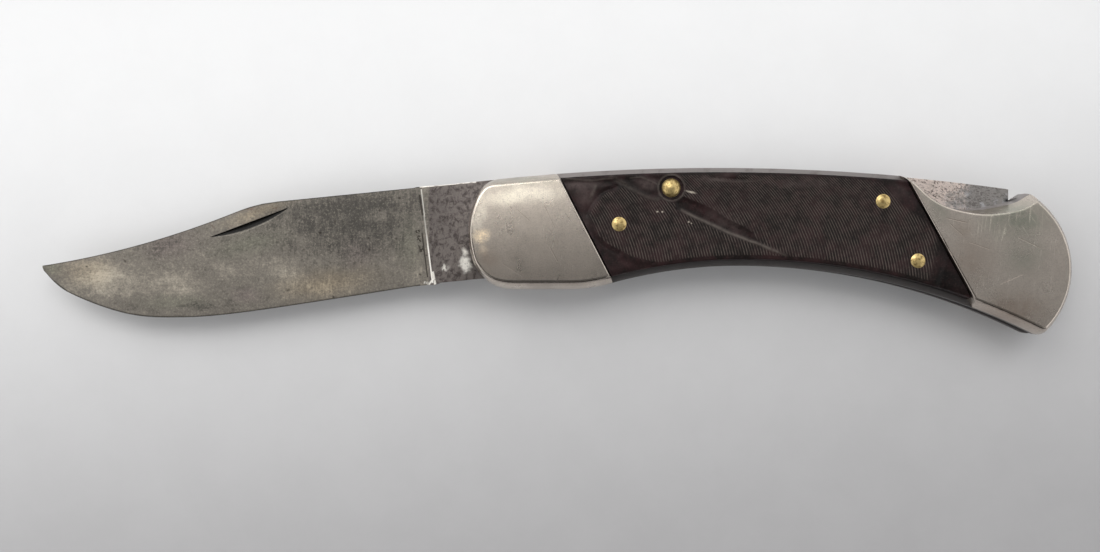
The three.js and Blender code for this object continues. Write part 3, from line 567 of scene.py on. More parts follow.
@dataclass(frozen=True)
class PittedSteel:
    """The lock bar: worn pinkish bright metal with dark pits, greyer towards its tail."""

    bright: Colour = (0.72, 0.62, 0.57)
    grey: Colour = (0.30, 0.285, 0.275)
    cold: Colour = (0.52, 0.52, 0.55)
    pit: Colour = (0.05, 0.04, 0.036)
    shadow: Colour = (0.004, 0.004, 0.004)
    gap: Zone = Zone((100.2, 7.0), (1.1, 0.9))
    tail_span: Point = (92.75, 102.75)
    front_span: Point = (78.25, 74.25)
    sway: float = 16.0

    def make(self) -> Material:
        """Builds the material.

        Returns:
            The material.
        """
        g = Graph("pitted_steel")
        patches = g.noise(700, 5, 0.72, twist=1.2)
        pits = g.noise(1250, 4, 0.75, g.stretched((1.0, 1.6, 1.0), 25), twist=1.4)
        fine = g.noise(3600, 2, 0.6)
        swayed = g.math("MULTIPLY_ADD", g.noise(260, 4, 0.7), self.sway * MM, g.axis("X"))
        tail = g.along("X", self.tail_span, value=swayed)
        front = g.along("X", self.front_span)
        greyness = g.math("MULTIPLY_ADD", patches, 0.8, g.times(g.peak((tail, front)), 0.6))
        colour = g.mix(g.span(greyness, 0.5, 0.9), self.bright, self.grey)
        pitted = g.span(pits, 0.52, 0.60)
        colour = g.mix(g.times(pitted, g.span(tail, 0.0, 1.0, (0.85, 0.5))), colour, self.pit)
        colour = g.mix(g.span(fine, 0.45, 0.75, (0.0, 0.4)), colour, self.grey)
        pale = g.times(g.span(g.noise(420, 4, 0.7), 0.5, 0.68), tail)
        colour = g.mix(g.times(pale, 0.7), colour, self.cold)
        colour = g.mix(g.spot(g.local(0.4, 900.0), self.gap), colour, self.shadow)
        g.set("Base Color", colour)
        g.set("Metallic", 0.7)
        g.set("Roughness", g.span(pits, 0.35, 0.6, (0.34, 0.7)))
        g.relief((patches, 0.00009), (pitted, -0.00006))
        return g.material


@dataclass(frozen=True)
class LinerSteel:
    """Ground steel of the liners, the spacer and the spring, darkened towards the belly with painted shade.
    """

    base: Colour = (0.34, 0.315, 0.31)
    stain: Colour = (0.19, 0.172, 0.165)
    # Painted shade for the belly side.
    belly_shade: Colour = (0.085, 0.080, 0.079)
    shadow: Colour = (0.004, 0.004, 0.004)
    gap: Zone = Zone((101.1, 7.6), (1.9, 1.4))
    grain: Triple = (60.0, 1500.0, 1500.0)
    belly_span: Point = (4.0, 0.0)
    belly_slope: float = 0.04

    def make(self) -> Material:
        """Builds the material.

        Returns:
            The material.
        """
        g = Graph("liner_steel")
        stain = g.noise(300, 5, 0.6)
        lines = g.noise(1, 3, 0.6, g.stretched(self.grain))
        colour = g.mix(g.span(stain, 0.5, 0.75, (0.0, 0.7)), self.base, self.stain)
        colour = g.mix(g.span(lines, 0.35, 0.7, (0.0, 0.25)), colour, self.stain)
        # Painted shade: the steel darkens towards the belly.
        level = g.math("MULTIPLY_ADD", g.axis("X"), self.belly_slope, g.axis("Y"))
        belly = g.along("Y", self.belly_span, value=level)
        colour = g.mix(g.times(belly, 0.85), colour, self.belly_shade)
        colour = g.mix(g.spot(g.local(), self.gap), colour, self.shadow)
        g.set("Base Color", colour)
        g.set("Metallic", 0.6)
        g.set("Roughness", g.span(stain, 0.3, 0.7, (0.42, 0.56)))
        g.relief((lines, 0.000012))
        return g.material


@dataclass(frozen=True)
class SatinWhiteMetal:
    """Warm white metal of the bolsters, rubbed satin, with fine scratches in all directions, painted
    highlights on the front bolster, and brown patches that are partly tarnish and partly painted shade.
    """

    base: Colour = (0.67, 0.60, 0.53)
    dull: Colour = (0.44, 0.39, 0.345)
    # Glint and shine are colours of painted highlights; shine also colours the rubbed scratches.
    glint: Colour = (1.0, 0.80, 0.54)
    shine: Colour = (1.0, 0.93, 0.78)
    brown: Colour = (0.40, 0.31, 0.25)
    green: Colour = (0.385, 0.383, 0.32)
    # Painted reflection of a warm bulb on the front bolster's left side.
    glints: tuple[Zone, ...] = (
        Zone((-10.5, -0.7), (2.6, 2.0), 1.3, 10), Zone((-10.4, -3.4), (1.5, 1.8), 0.35),
    )
    # Painted highlights along the front bolster's top and left side.
    shines: tuple[Zone, ...] = (
        Zone((-1.0, 8.0), (13.0, 3.2), 0.8, 4), Zone((-5.0, 7.2), (7.0, 2.2), 0.6, 7),
        Zone((-11.0, 3.5), (2.0, 6.0), 0.55, -14),
    )
    # Brown patches: tarnish, and painted shade at the lower left of the front bolster and the bottom of the
    # rear one.
    browns: tuple[Zone, ...] = (
        Zone((-9.2, -5.2), (3.2, 3.2), 0.5), Zone((90.0, -6.0), (7.0, 8.0), 0.45),
        Zone((99.0, -16.0), (10.0, 6.0), 0.7), Zone((88.5, 1.0), (3.5, 3.0), 0.4),
    )
    greens: tuple[Zone, ...] = (
        Zone((-2.0, 10.9), (12.0, 1.5), 0.7), Zone((99.5, 2.8), (10.5, 6.2), 1.15),
        Zone((101.0, -5.0), (7.0, 6.0), 0.6), Zone((83.6, 5.2), (3.0, 5.0), 0.6, 20),
    )
    rubbed: Zone = Zone((98.0, 2.5), (14.0, 7.0), 0.4)
    scratches: tuple[Stroke, ...] = (
        ((-3.0, 4.6), (-0.6, 2.4), 0.12), ((2.4, 5.6), (4.6, 1.0), 0.10),
        ((-6.0, -6.5), (-2.0, -9.0), 0.10), ((3.6, -3.0), (5.2, -6.0), 0.12),
        ((84.6, -1.2), (86.4, -4.8), 0.14), ((86.0, 1.8), (88.6, -0.6), 0.10),
        ((85.2, 3.0), (89.6, 2.0), 0.12), ((90.0, -2.0), (94.0, -3.4), 0.09),
        ((96.4, -10.6), (101.0, -8.6), 0.10), ((100.0, -1.0), (104.6, -3.2), 0.10),
    )

    def make(self) -> Material:
        """Builds the material.

        Returns:
            The material.
        """
        g = Graph("satin_white_metal")
        at = g.local(2.0, 260.0)
        clouds = g.noise(160, 5, 0.6)
        blots = g.noise(520, 5, 0.7, twist=0.4)
        grain = g.noise(4200, 3, 0.65)
        upright = g.noise(1, 3, 0.65, g.stretched((3000.0, 160.0, 3000.0), 6))
        slanted = g.noise(1, 3, 0.65, g.stretched((2600.0, 170.0, 2600.0), -38))
        marks = g.peak((g.span(upright, 0.6, 0.74), g.span(slanted, 0.64, 0.76)))
        colour = g.mix(g.span(clouds, 0.38, 0.75, (0.0, 0.7)), self.base, self.dull)
        colour = g.mix(g.span(blots, 0.5, 0.72, (0.0, 0.35)), colour, self.dull)
        colour = g.mix(g.span(grain, 0.42, 0.66, (0.0, 0.6)), colour, self.dull)
        lit = 0.0
        tints = (
            (self.browns, self.brown), (self.greens, self.green), (self.shines, self.shine),
            (self.glints, self.glint),
        )
        for zones, tint in tints:
            for zone in zones:
                share = g.zone(at, zone)
                share = g.times(share, g.span(blots, 0.62, 0.42, (0.55, 1.0)))
                # Shines and glints are painted highlights: where they lie, the metal is made less metallic
                # so that their colour shows brighter.
                if zones in (self.shines, self.glints):
                    share = g.times(share, g.span(grain, 0.62, 0.42, (0.5, 1.0)))
                    lit = g.math("MAXIMUM", lit, share)
                colour = g.mix(share, colour, tint)
        exact = g.local()
        lines = g.peak(g.stroke(exact, *scratch) for scratch in self.scratches)
        colour = g.mix(g.times(lines, 0.45), colour, self.brown)
        rubbed = g.peak((g.span(upright, 0.56, 0.64), g.span(slanted, 0.6, 0.68)))
        rubbed = g.times(rubbed, g.spot(at, self.rubbed))
        colour = g.mix(g.times(rubbed, self.rubbed.amount), colour, self.shine)
        g.set("Base Color", colour)
        g.set("Metallic", g.math("MULTIPLY_ADD", lit, -0.75, 1.0))
        rough = g.math("MULTIPLY_ADD", marks, -0.05, g.span(clouds, 0.3, 0.7, (0.26, 0.35)))
        g.set("Roughness", g.math("MULTIPLY_ADD", g.attribute("rim"), -0.14, rough))
        g.relief((grain, 0.000017), (upright, 0.00001), (marks, -0.00001), (lines, -0.00002))
        return g.material


@dataclass(frozen=True)
class RibbedPlastic:
    """Dark brown moulded plastic with fine ribs, each a copy of one arc set off along the knife, with
    painted sheen on lighter patches and painted shade on darker ones.
    """

    body: Colour = (0.0062, 0.0042, 0.0038)
    tint: Colour = (0.022, 0.0100, 0.0105)
    crest: Colour = (0.068, 0.055, 0.048)
    # Lighter colour for the painted sheen patches and the fine flecks.
    sheen_and_fleck: Colour = (0.062, 0.045, 0.043)
    black: Colour = (0.0018, 0.0014, 0.0014)
    chip: Colour = (0.42, 0.37, 0.31)
    rubbed: Colour = (0.095, 0.08, 0.07)
    pitch: float = 0.586
    arc_radius: float = 31.8
    arc_drop: float = 12.04
    rib_height: float = 0.08
    # Painted sheen: lighter patches, mostly along the back.
    sheen_patches: tuple[Zone, ...] = (
        Zone((9.5, 9.6), (6.5, 2.4), 1.0), Zone((11.5, 7.2), (3.0, 3.4), 0.8, -40),
        Zone((23.6, 10.2), (3.2, 2.2), 0.8), Zone((37.5, 11.6), (6.0, 1.4), 0.8),
        Zone((10.6, 1.2), (2.4, 5.0), 0.5), Zone((40.0, 2.2), (9.0, 2.6), 0.5, -28),
        Zone((56.0, 10.4), (10.0, 1.6), 0.5), Zone((75.5, 8.6), (3.4, 2.4), 0.3),
    )
    # Painted shade: darker patches, mostly along the belly and by the rear bolster.
    blacks: tuple[Zone, ...] = (
        Zone((84.6, -11.0), (4.0, 7.5), 1.0, -10), Zone((86.0, -2.5), (2.6, 6.0), 0.8, 10),
        Zone((13.0, -7.6), (6.0, 2.4), 0.7, -10), Zone((20.5, -8.6), (10.0, 2.0), 0.6, -8),
        Zone((80.0, 6.8), (4.0, 2.5), 0.6, -35), Zone((45.0, -11.4), (30.0, 1.4), 0.5),
        Zone((43.0, 6.6), (9.0, 3.2), 0.4), Zone((69.5, 8.6), (6.5, 2.6), 0.5),
    )
    chips: tuple[Zone, ...] = (
        Zone((32.7, 8.4), (1.6, 0.34), 1.0, -17), Zone((25.8, 4.3), (0.34, 0.3), 0.9),
        Zone((26.8, 4.3), (0.3, 0.26), 0.8), Zone((32.2, 2.2), (0.32, 0.28), 0.9),
        Zone((32.8, 1.9), (0.26, 0.24), 0.7),
    )

    def make(self) -> Material:
        """Builds the material.

        Returns:
            The material.
        """
        g = Graph("ribbed_plastic")
        x = g.math("DIVIDE", g.math("SUBTRACT", g.axis("X"), PIVOT.x), MM)
        y = g.math("DIVIDE", g.math("SUBTRACT", g.axis("Y"), PIVOT.y), MM)
        rise = g.math("ADD", y, self.arc_drop)
        across = g.math("SQRT", g.math("SUBTRACT", self.arc_radius**2, g.times(rise, rise)))
        wander = g.times(g.noise(240, 2, 0.5), 0.25)
        turns = g.math("DIVIDE", g.math("ADD", g.math("SUBTRACT", x, across), wander), self.pitch)
        wave = g.math("MULTIPLY_ADD", g.math("SINE", g.times(turns, 2 * math.pi)), 0.5, 0.5)
        area = g.attribute("ribbed")
        worn = g.noise(700, 4, 0.65)
        fine = g.noise(2400, 3, 0.65)
        ribs = g.times(wave, area)
        colour = g.mix(g.span(g.noise(260, 5, 0.65), 0.38, 0.68), self.body, self.tint)
        at = g.local(3.0, 220.0)
        # Painted sheen and painted shade, broken up by the wear noise.
        for zones, tint in ((self.sheen_patches, self.sheen_and_fleck), (self.blacks, self.black)):
            for zone in zones:
                share = g.zone(at, zone)
                colour = g.mix(g.times(share, g.span(worn, 0.36, 0.6, (0.45, 1.0))), colour, tint)
        crest = g.times(g.span(ribs, 0.5, 1.0), g.span(worn, 0.34, 0.62, (0.25, 1.0)))
        colour = g.mix(crest, colour, self.crest)
        colour = g.mix(g.span(fine, 0.5, 0.75, (0.0, 0.3)), colour, self.sheen_and_fleck)
        rubbed = g.times(g.attribute("rubbed"), g.span(worn, 0.3, 0.6, (0.5, 1.0)))
        colour = g.mix(rubbed, colour, self.rubbed)
        strayed = g.local(0.5, 900.0)
        chips = g.peak(g.spot(strayed, zone) for zone in self.chips)
        colour = g.mix(g.times(chips, g.span(area, 0.0, 1.0, (1.0, 0.9))), colour, self.chip)
        g.set("Base Color", colour)
        glossy = g.attribute("glossy")
        g.set("Roughness", g.math("MULTIPLY_ADD", glossy, -0.16, g.span(worn, 0.3, 0.7, (0.42, 0.58))))
        g.set("Specular IOR Level", 0.18)
        g.relief((ribs, self.rib_height * MM), (fine, 0.000022), (worn, 0.00004))
        return g.material


@dataclass(frozen=True)
class Brass:
    """Brass with a thin brown tarnish."""

    bright: Colour = (0.66, 0.50, 0.22)
    tarnish: Colour = (0.20, 0.13, 0.045)

    def make(self) -> Material:
        """Builds the material.

        Returns:
            The material.
        """
        g = Graph("brass")
        spots = g.noise(1300, 4, 0.6)
        g.set("Base Color", g.mix(g.span(spots, 0.44, 0.64, (0.0, 0.85)), self.bright, self.tarnish))
        g.set("Metallic", 0.8)
        g.set("Roughness", g.span(spots, 0.3, 0.7, (0.30, 0.46)))
        g.relief((g.noise(3500, 3, 0.6), 0.00002))
        return g.material


# Bench: modelling steps that several pieces share


def pick(piece: Piece) -> None:
    """Makes a piece the only selected and the active one.

    Args:
        piece: The piece.
    """
    bpy.ops.object.select_all(action="DESELECT")
    piece.select_set(True)
    bpy.context.view_layer.objects.active = piece


@contextmanager
def editing(piece: Piece) -> Iterator[None]:
    """Keeps a piece in edit mode for the length of a with block.

    Args:
        piece: The piece.

    Yields:
        Nothing.
    """
    pick(piece)
    bpy.ops.object.mode_set(mode="EDIT")
    yield
    bpy.ops.object.mode_set(mode="OBJECT")


@contextmanager
def choosing(piece: Piece, kind: str, wanted: Callable[..., bool]) -> Iterator[None]:
    """Keeps a piece in edit mode for the length of a with block, at first with the wanted parts selected.

    Args:
        piece: The piece.
        kind: What is selected, EDGE or FACE.
        wanted: Tells of an edge or a face whether it is wanted.

    Yields:
        Nothing.
    """
    with editing(piece):
        bpy.ops.mesh.select_mode(type=kind)
        bpy.ops.mesh.select_all(action="DESELECT")
    for part in piece.data.edges if kind == "EDGE" else piece.data.polygons:
        part.select = wanted(part)
    with editing(piece):
        yield
        bpy.ops.mesh.select_mode(type="VERT")


def cast(node: str, name: str, whole_faces: bool = True) -> Piece:
    """Copies a CAD node's mesh, joins its corners and makes its flat faces whole.

    Args:
        node: Name of the node.
        name: Name of the new piece.
        whole_faces: Whether the triangles of a flat face become one face.

    Returns:
        The new piece.
    """
    piece = bpy.data.objects.new(name, frame["nodes"][node].data.copy())
    bpy.context.scene.collection.objects.link(piece)
    pick(piece)
    if piece.data.has_custom_normals:
        bpy.ops.mesh.customdata_custom_splitnormals_clear()
    with editing(piece):
        bpy.ops.mesh.select_all(action="SELECT")
        bpy.ops.mesh.remove_doubles(threshold=2 * SAME_PLACE)
        if whole_faces:
            bpy.ops.mesh.dissolve_limited(angle_limit=SAME_PLANE)
        bpy.ops.mesh.normals_make_consistent(inside=False)
    return piece


def close_up() -> None:
    """Joins the corners that meet, in edit mode, and turns all faces outwards."""
    bpy.ops.mesh.select_all(action="SELECT")
    bpy.ops.mesh.remove_doubles(threshold=SAME_PLACE)
    bpy.ops.mesh.normals_make_consistent(inside=False)


def modify(piece: Piece, kind: str, **options: object) -> None:
    """Adds a modifier to a piece and applies it.

    Args:
        piece: The piece.
        kind: Type of the modifier.
        options: Its options.
    """
    pick(piece)
    modifier = piece.modifiers.new(kind.lower(), kind)
    for name, value in options.items():
        setattr(modifier, name, value)
    bpy.ops.object.modifier_apply(modifier=modifier.name)


def ease(piece: Piece, width: float, steps: int, angle: float = 34.0) -> None:
    """Rounds a piece's sharp edges and smooths its shading.

    Args:
        piece: The piece.
        width: Width of the rounding, in millimetres.
        steps: Segments across it.
        angle: Edges sharper than this, in degrees, are rounded.
    """
    sharp = {"limit_method": "ANGLE", "angle_limit": math.radians(angle)}
    modify(piece, "BEVEL", width=width * MM, segments=steps, **sharp, miter_outer="MITER_ARC")
    smooth(piece)


def round_edges(
    piece: Piece, width: float, steps: int, angle: float, wanted: Callable[[Vector], bool]
) -> None:
    """Rounds those sharp edges of a piece that lie in the wanted places.

    Args:
        piece: The piece.
        width: Width of the rounding, in millimetres.
        steps: Segments across it.
        angle: Edges sharper than this, in degrees, are taken.
        wanted: Says for a place, in metres, whether its edges are rounded.
    """
    faces_of: dict[tuple[int, int], list[Vector]] = {}
    for face in piece.data.polygons:
        for key in face.edge_keys:
            faces_of.setdefault(key, []).append(face.normal.copy())
    least = math.radians(angle)
    sharp = {key: first.angle(second, 0.0) > least for key, (first, second) in faces_of.items()}

    def taken(edge: bpy.types.MeshEdge) -> bool:
        """Whether an edge is sharp and both its ends are in a wanted place."""
        return sharp[edge.key] and all(wanted(piece.data.vertices[v].co) for v in edge.vertices)

    with choosing(piece, "EDGE", taken):
        bpy.ops.mesh.bevel(offset=width * MM, segments=steps, affect="EDGES", clamp_overlap=True)


def mark(piece: Piece, name: str, domain: str, values: list[float] | np.ndarray) -> None:
    """Writes an attribute that a finish reads, with a value for each POINT or FACE of the piece."""
    piece.data.attributes.new(name, "FLOAT", domain).data.foreach_set("value", values)


def mark_faces(piece: Piece, name: str, wanted: Callable[[bpy.types.MeshPolygon], bool]) -> None:
    """Writes an attribute that is 1 on the wanted faces and 0 elsewhere."""
    mark(piece, name, "FACE", [float(wanted(face)) for face in piece.data.polygons])


def smooth(piece: Piece, angle: float = 32.0) -> None:
    """Shades a piece smoothly, with flat faces kept flat and edges sharper than the angle kept sharp.

    Args:
        piece: The piece.
        angle: The angle, in degrees.
    """
    pick(piece)
    bpy.ops.object.shade_smooth_by_angle(angle=math.radians(angle))
    modify(piece, "WEIGHTED_NORMAL", keep_sharp=True)


def dress(piece: Piece, finish: Material, slot: str, body: str, *nodes: str) -> None:
    """Gives a piece its finish and its body, and hides the CAD nodes that it stands for.

    Args:
        piece: The piece.
        finish: Its material.
        slot: The record's material slot; not used.
        body: The body that carries it.
        nodes: CAD nodes that it replaces.
    """
    piece.data.materials.clear()
    piece.data.materials.append(finish)
    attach(piece, body)
    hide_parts(*nodes)
    log.info("%s: %d faces", piece.name, len(piece.data.polygons))


def dress_node(node: str, finish: Material) -> None:
    """Gives a carried-over CAD node its finish.

    Args:
        node: Name of the node.
        finish: Its material.
    """
    data = frame["nodes"][node].data
    data.materials.clear()
    data.materials.append(finish)
    log.info("%s: kept as it is", node)


def slice_rows(piece: Piece, heights: list[float], normal: Triple) -> None:
    """Cuts a piece's faces along parallel planes, without opening it.

    Args:
        piece: The piece.
        heights: Places of the planes along the normal, in metres.
        normal: Direction of the planes.
    """
    with editing(piece):
        for height in heights:
            bpy.ops.mesh.select_all(action="SELECT")
            place = tuple(height * n for n in normal)
            bpy.ops.mesh.bisect(plane_co=place, plane_no=normal, use_fill=False, threshold=SAME_PLACE)


def vertices_of(piece: Piece) -> np.ndarray:
    """Reads a piece's vertices.

    Args:
        piece: The piece.

    Returns:
        One row of three coordinates for each vertex.
    """
    data = np.empty(len(piece.data.vertices) * 3)
    piece.data.vertices.foreach_get("co", data)
    return data.reshape(-1, 3)


def move_vertices(piece: Piece, places: np.ndarray) -> None:
    """Moves a piece's vertices to new places, given as one row of three coordinates for each."""
    piece.data.vertices.foreach_set("co", places.ravel())
    piece.data.update()


# Shape of the handle, in millimetres from the blade's pivot


@dataclass(frozen=True)
class HandleShape:
    """The handle's back, belly and seams, as in the part."""

    back_peak: float = 38.5
    back_rise: float = 13.75
    back_radius: float = 445.0
    arch_peak: float = 44.0
    arch_drop: float = 6.75
    arch_front_radius: float = 105.0
    arch_rear_radius: float = 137.0
    front_seam: float = 11.4
    front_lean: float = 27.2
    rear_seam: float = 83.6
    rear_lean: float = 28.9
    seam_gap: float = 0.3
    ledge_back: float = 1.1
    ledge_belly: float = 1.2
    liner_outer: float = 3.05
    cover_face: float = 6.5
    bolster_face: float = 7.1

    def back(self, x: np.ndarray, drawn: np.ndarray) -> np.ndarray:
        """Height of the back over places along the handle, drawn in by a distance."""
        radius = self.back_radius - drawn
        return self.back_rise - self.back_radius + np.sqrt(radius**2 - (x - self.back_peak) ** 2)

    def belly(self, x: np.ndarray, drawn: np.ndarray) -> np.ndarray:
        """Height of the belly, drawn in by a distance.

        Args:
            x: Places along the handle.
            drawn: Distance.

        Returns:
            Heights.
        """
        arch = np.where(x < self.arch_peak, self.arch_front_radius, self.arch_rear_radius)
        radius = arch + drawn
        return -self.arch_drop - arch + np.sqrt(radius**2 - (x - self.arch_peak) ** 2)


def distance_to(x: np.ndarray, y: np.ndarray, line: tuple[Point, ...]) -> np.ndarray:
    """Distance of places from a line through several points.

    Args:
        x: Places along the handle.
        y: Places across it.
        line: Points of the line.

    Returns:
        Distances.
    """
    nearest = np.full_like(x, np.inf)
    for (ax, ay), (bx, by) in zip(line, line[1:]):
        dx, dy = bx - ax, by - ay
        share = np.clip(((x - ax) * dx + (y - ay) * dy) / (dx * dx + dy * dy), 0, 1)
        nearest = np.minimum(nearest, np.hypot(x - ax - share * dx, y - ay - share * dy))
    return nearest


def reach_outside(x: np.ndarray, y: np.ndarray, corners: tuple[Point, ...]) -> np.ndarray:
    """Distance of places from the outline of a field, negative inside it.

    Args:
        x: Places along the handle.
        y: Places across it.
        corners: Corners of the field.

    Returns:
        Distances.
    """
    ring = corners + corners[:1]
    inside = np.zeros(x.shape, dtype=bool)
    for (ax, ay), (bx, by) in zip(ring, ring[1:]):
        if ay != by:
            beside = (ay > y) != (by > y)
            inside ^= beside & (x < ax + (y - ay) * (bx - ax) / (by - ay))
    return np.where(inside, -1.0, 1.0) * distance_to(x, y, ring)


def step(value: np.ndarray, low: float, high: float) -> np.ndarray:
    """Smooth step of values, 0 at low and 1 at high, in either order."""
    t = np.clip((value - low) / (high - low), 0, 1)
    return t * t * (3 - 2 * t)


@dataclass(frozen=True)
class Crease:
    """A groove, or a ridge where its depth is negative, along a line on the cover."""

    line: tuple[Point, ...]
    width: float
    depth: float
    rubbed: float = 0.0

    def share(self, x: np.ndarray, y: np.ndarray) -> np.ndarray:
        """How much of the crease's depth, from 0 to 1, places along and across the handle get."""
        return np.exp(-((distance_to(x, y, self.line) / self.width) ** 2))


# Sub-assemblies


@dataclass
class Covers:
    """The two ribbed covers between the bolsters, with the moulded scars of sawn stag."""

    shape: HandleShape
    finish: Material
    columns: int = 340
    rows: int = 110
    edge_round: float = 0.45
    edge_steps: int = 5
    wall_drawn: Triple = (0.0, 0.05, 0.1)
    first_heights: Point = (-8.0, 10.0)
    rounds: int = 30
    tallest: float = 0.25
    counterbore_radius: float = 2.5
    counterbore_depth: float = 0.5
    counterbore_sides: int = 64
    sharp: float = 40.0
    rocker: Point = (28.7, 9.3)
    waviness: float = 0.03
    rib_field: tuple[Point, ...] = (
        (17.3, 8.7), (15.7, 8.6), (14.4, 7.7), (13.3, 6.3), (12.3, 5.0), (11.6, 3.7), (12.0, 2.4),
        (12.8, 0.3), (13.6, -0.8), (15.4, -2.4), (18.3, -3.9), (20.4, -5.0), (24.0, -5.9), (28.0, -6.8),
        (32.0, -7.4), (44.0, -8.6), (60.0, -9.2), (72.0, -12.0), (82.0, -16.5), (83.2, -9.5), (84.3, -6.0),
        (84.9, -3.1), (84.8, -0.5), (83.6, 1.8), (82.0, 3.4), (79.9, 4.8), (77.6, 6.4), (75.4, 8.7),
        (73.8, 10.3), (72.4, 11.5), (42.5, 12.1), (41.8, 11.2), (38.0, 11.4), (36.4, 13.5), (30.5, 13.5),
        (26.5, 6.9), (24.1, 7.1), (22.5, 7.9), (20.4, 9.0), (18.6, 9.7),
    )
    scar: tuple[Point, ...] = (
        (29.6, 6.3), (31.2, 7.1), (34.0, 6.0), (37.2, 4.5), (40.0, 2.6), (43.4, 1.0), (45.4, -0.3),
        (46.3, -1.9), (45.0, -1.6), (41.6, -0.6), (38.6, 0.7), (35.0, 2.5), (31.8, 4.1), (30.0, 5.0),
    )
    scar_depth: float = 0.42
    lobe: tuple[Point, ...] = (
        (20.3, 10.6), (21.5, 11.6), (23.6, 11.7), (25.6, 10.8), (26.6, 9.4), (25.6, 7.9), (23.2, 8.6),
    )
    patch: tuple[Point, ...] = (
        (6.0, 10.2), (9.0, 10.3), (13.0, 10.1), (16.2, 10.2), (16.8, 9.3), (15.0, 8.9), (12.9, 7.9),
        (11.6, 6.3), (10.6, 4.6), (9.5, 4.2),
    )
    creases: tuple[Crease, ...] = (
        Crease(
            ((30.9, 4.6), (33.6, 3.2), (37.5, 1.5), (40.4, 0.1), (43.2, -1.0), (46.5, -2.3), (50.5, -4.0)),
            0.32, -0.2, 0.85,
        ),
        Crease(((50.5, -4.0), (52.4, -4.7)), 0.25, -0.06, 0.4),
        Crease(((37.0, 11.5), (40.4, 11.2), (44.2, 11.05)), 0.3, 0.3),
        Crease(((37.5, 10.9), (41.0, 10.5), (44.5, 10.5), (47.5, 10.9)), 0.16, -0.05, 0.4),
        Crease(((7.0, 11.2), (10.4, 10.87), (12.8, 10.8), (14.6, 11.1), (16.7, 11.2)), 0.16, -0.09, 0.55),
        Crease(
            ((16.2, 11.7), (18.3, 10.5), (20.4, 9.0), (22.5, 7.9), (24.1, 7.1), (26.0, 6.8)),
            0.45, -0.07, 0.3,
        ),
        Crease(((20.2, 11.3), (22.4, 11.5), (24.6, 10.6), (26.3, 9.7)), 0.14, -0.08, 0.45),
        Crease(((17.0, 10.9), (18.4, 10.2), (19.9, 9.4)), 0.25, 0.26),
        Crease(
            ((17.5, 9.6), (16.6, 9.1), (15.6, 8.9), (14.1, 8.1), (12.9, 6.7), (11.9, 5.3), (11.2, 3.9)),
            0.42, 0.36,
        ),
        Crease(((11.2, 3.4), (11.5, 2.3), (12.3, 0.2), (13.2, -1.2), (15.0, -2.8), (17.8, -4.3)), 0.5, 0.22),
        Crease(((13.1, 9.6), (12.6, 8.4), (11.9, 7.2)), 0.28, -0.1, 0.5),
    )

    def height_on(self, upper: bool, reach: float, tangent: float, drawn: np.ndarray) -> np.ndarray:
        """Heights at which a leaning line meets the cover's long edges.

        Args:
            upper: Whether it is the back's edge, not the belly's.
            reach: Where the line crosses the pivot's level.
            tangent: How far it leans back for each millimetre up.
            drawn: Distances by which the edge is drawn in.

        Returns:
            Heights.
        """
        s = self.shape
        y = np.full_like(drawn, self.first_heights[1 if upper else 0])
        for _ in range(self.rounds):
            x = reach - y * tangent
            y = s.back(x, s.ledge_back + drawn) if upper else s.belly(x, s.ledge_belly + drawn)
        return y

    def grid(self) -> tuple[np.ndarray, np.ndarray, np.ndarray]:
        """Places of the grid over the cover's face, its rounded edges and its walls.

        Returns:
            Places along and across the handle, and heights above the blade's middle plane.
        """
        s = self.shape
        turn = np.linspace(0, math.pi / 2, self.edge_steps + 1)[1:]
        rounded = self.wall_drawn[-1] + self.edge_round * (1 - np.cos(turn))
        drawn = np.concatenate([self.wall_drawn, rounded])
        edge = s.cover_face - self.edge_round
        wall = [s.liner_outer, (s.liner_outer + edge) / 2, edge]
        high = np.concatenate([wall, edge + self.edge_round * np.sin(turn)])
        inner = self.rows - 2 * len(drawn)
        share_across = np.linspace(0, 1, inner + 2)[1:-1]
        gap = s.seam_gap / math.cos(math.radians(s.front_lean))
        start, end = s.front_seam + gap, s.rear_seam - gap
        places = []
        for share in np.linspace(0, 1, self.columns):
            tangent = math.tan(math.radians(s.front_lean + (s.rear_lean - s.front_lean) * share))
            reach = start + (end - start) * share
            low = self.height_on(False, reach, tangent, drawn)
            top = self.height_on(True, reach, tangent, drawn)
            across = low[-1] + (top[-1] - low[-1]) * share_across
            y = np.concatenate([low, across, top[::-1]])
            z = np.concatenate([high, np.full(inner, s.cover_face), high[::-1]])
            places.append(np.stack([reach - y * tangent, y, z], axis=1))
        return tuple(np.stack(places, axis=1)[:, :, k] for k in range(3))

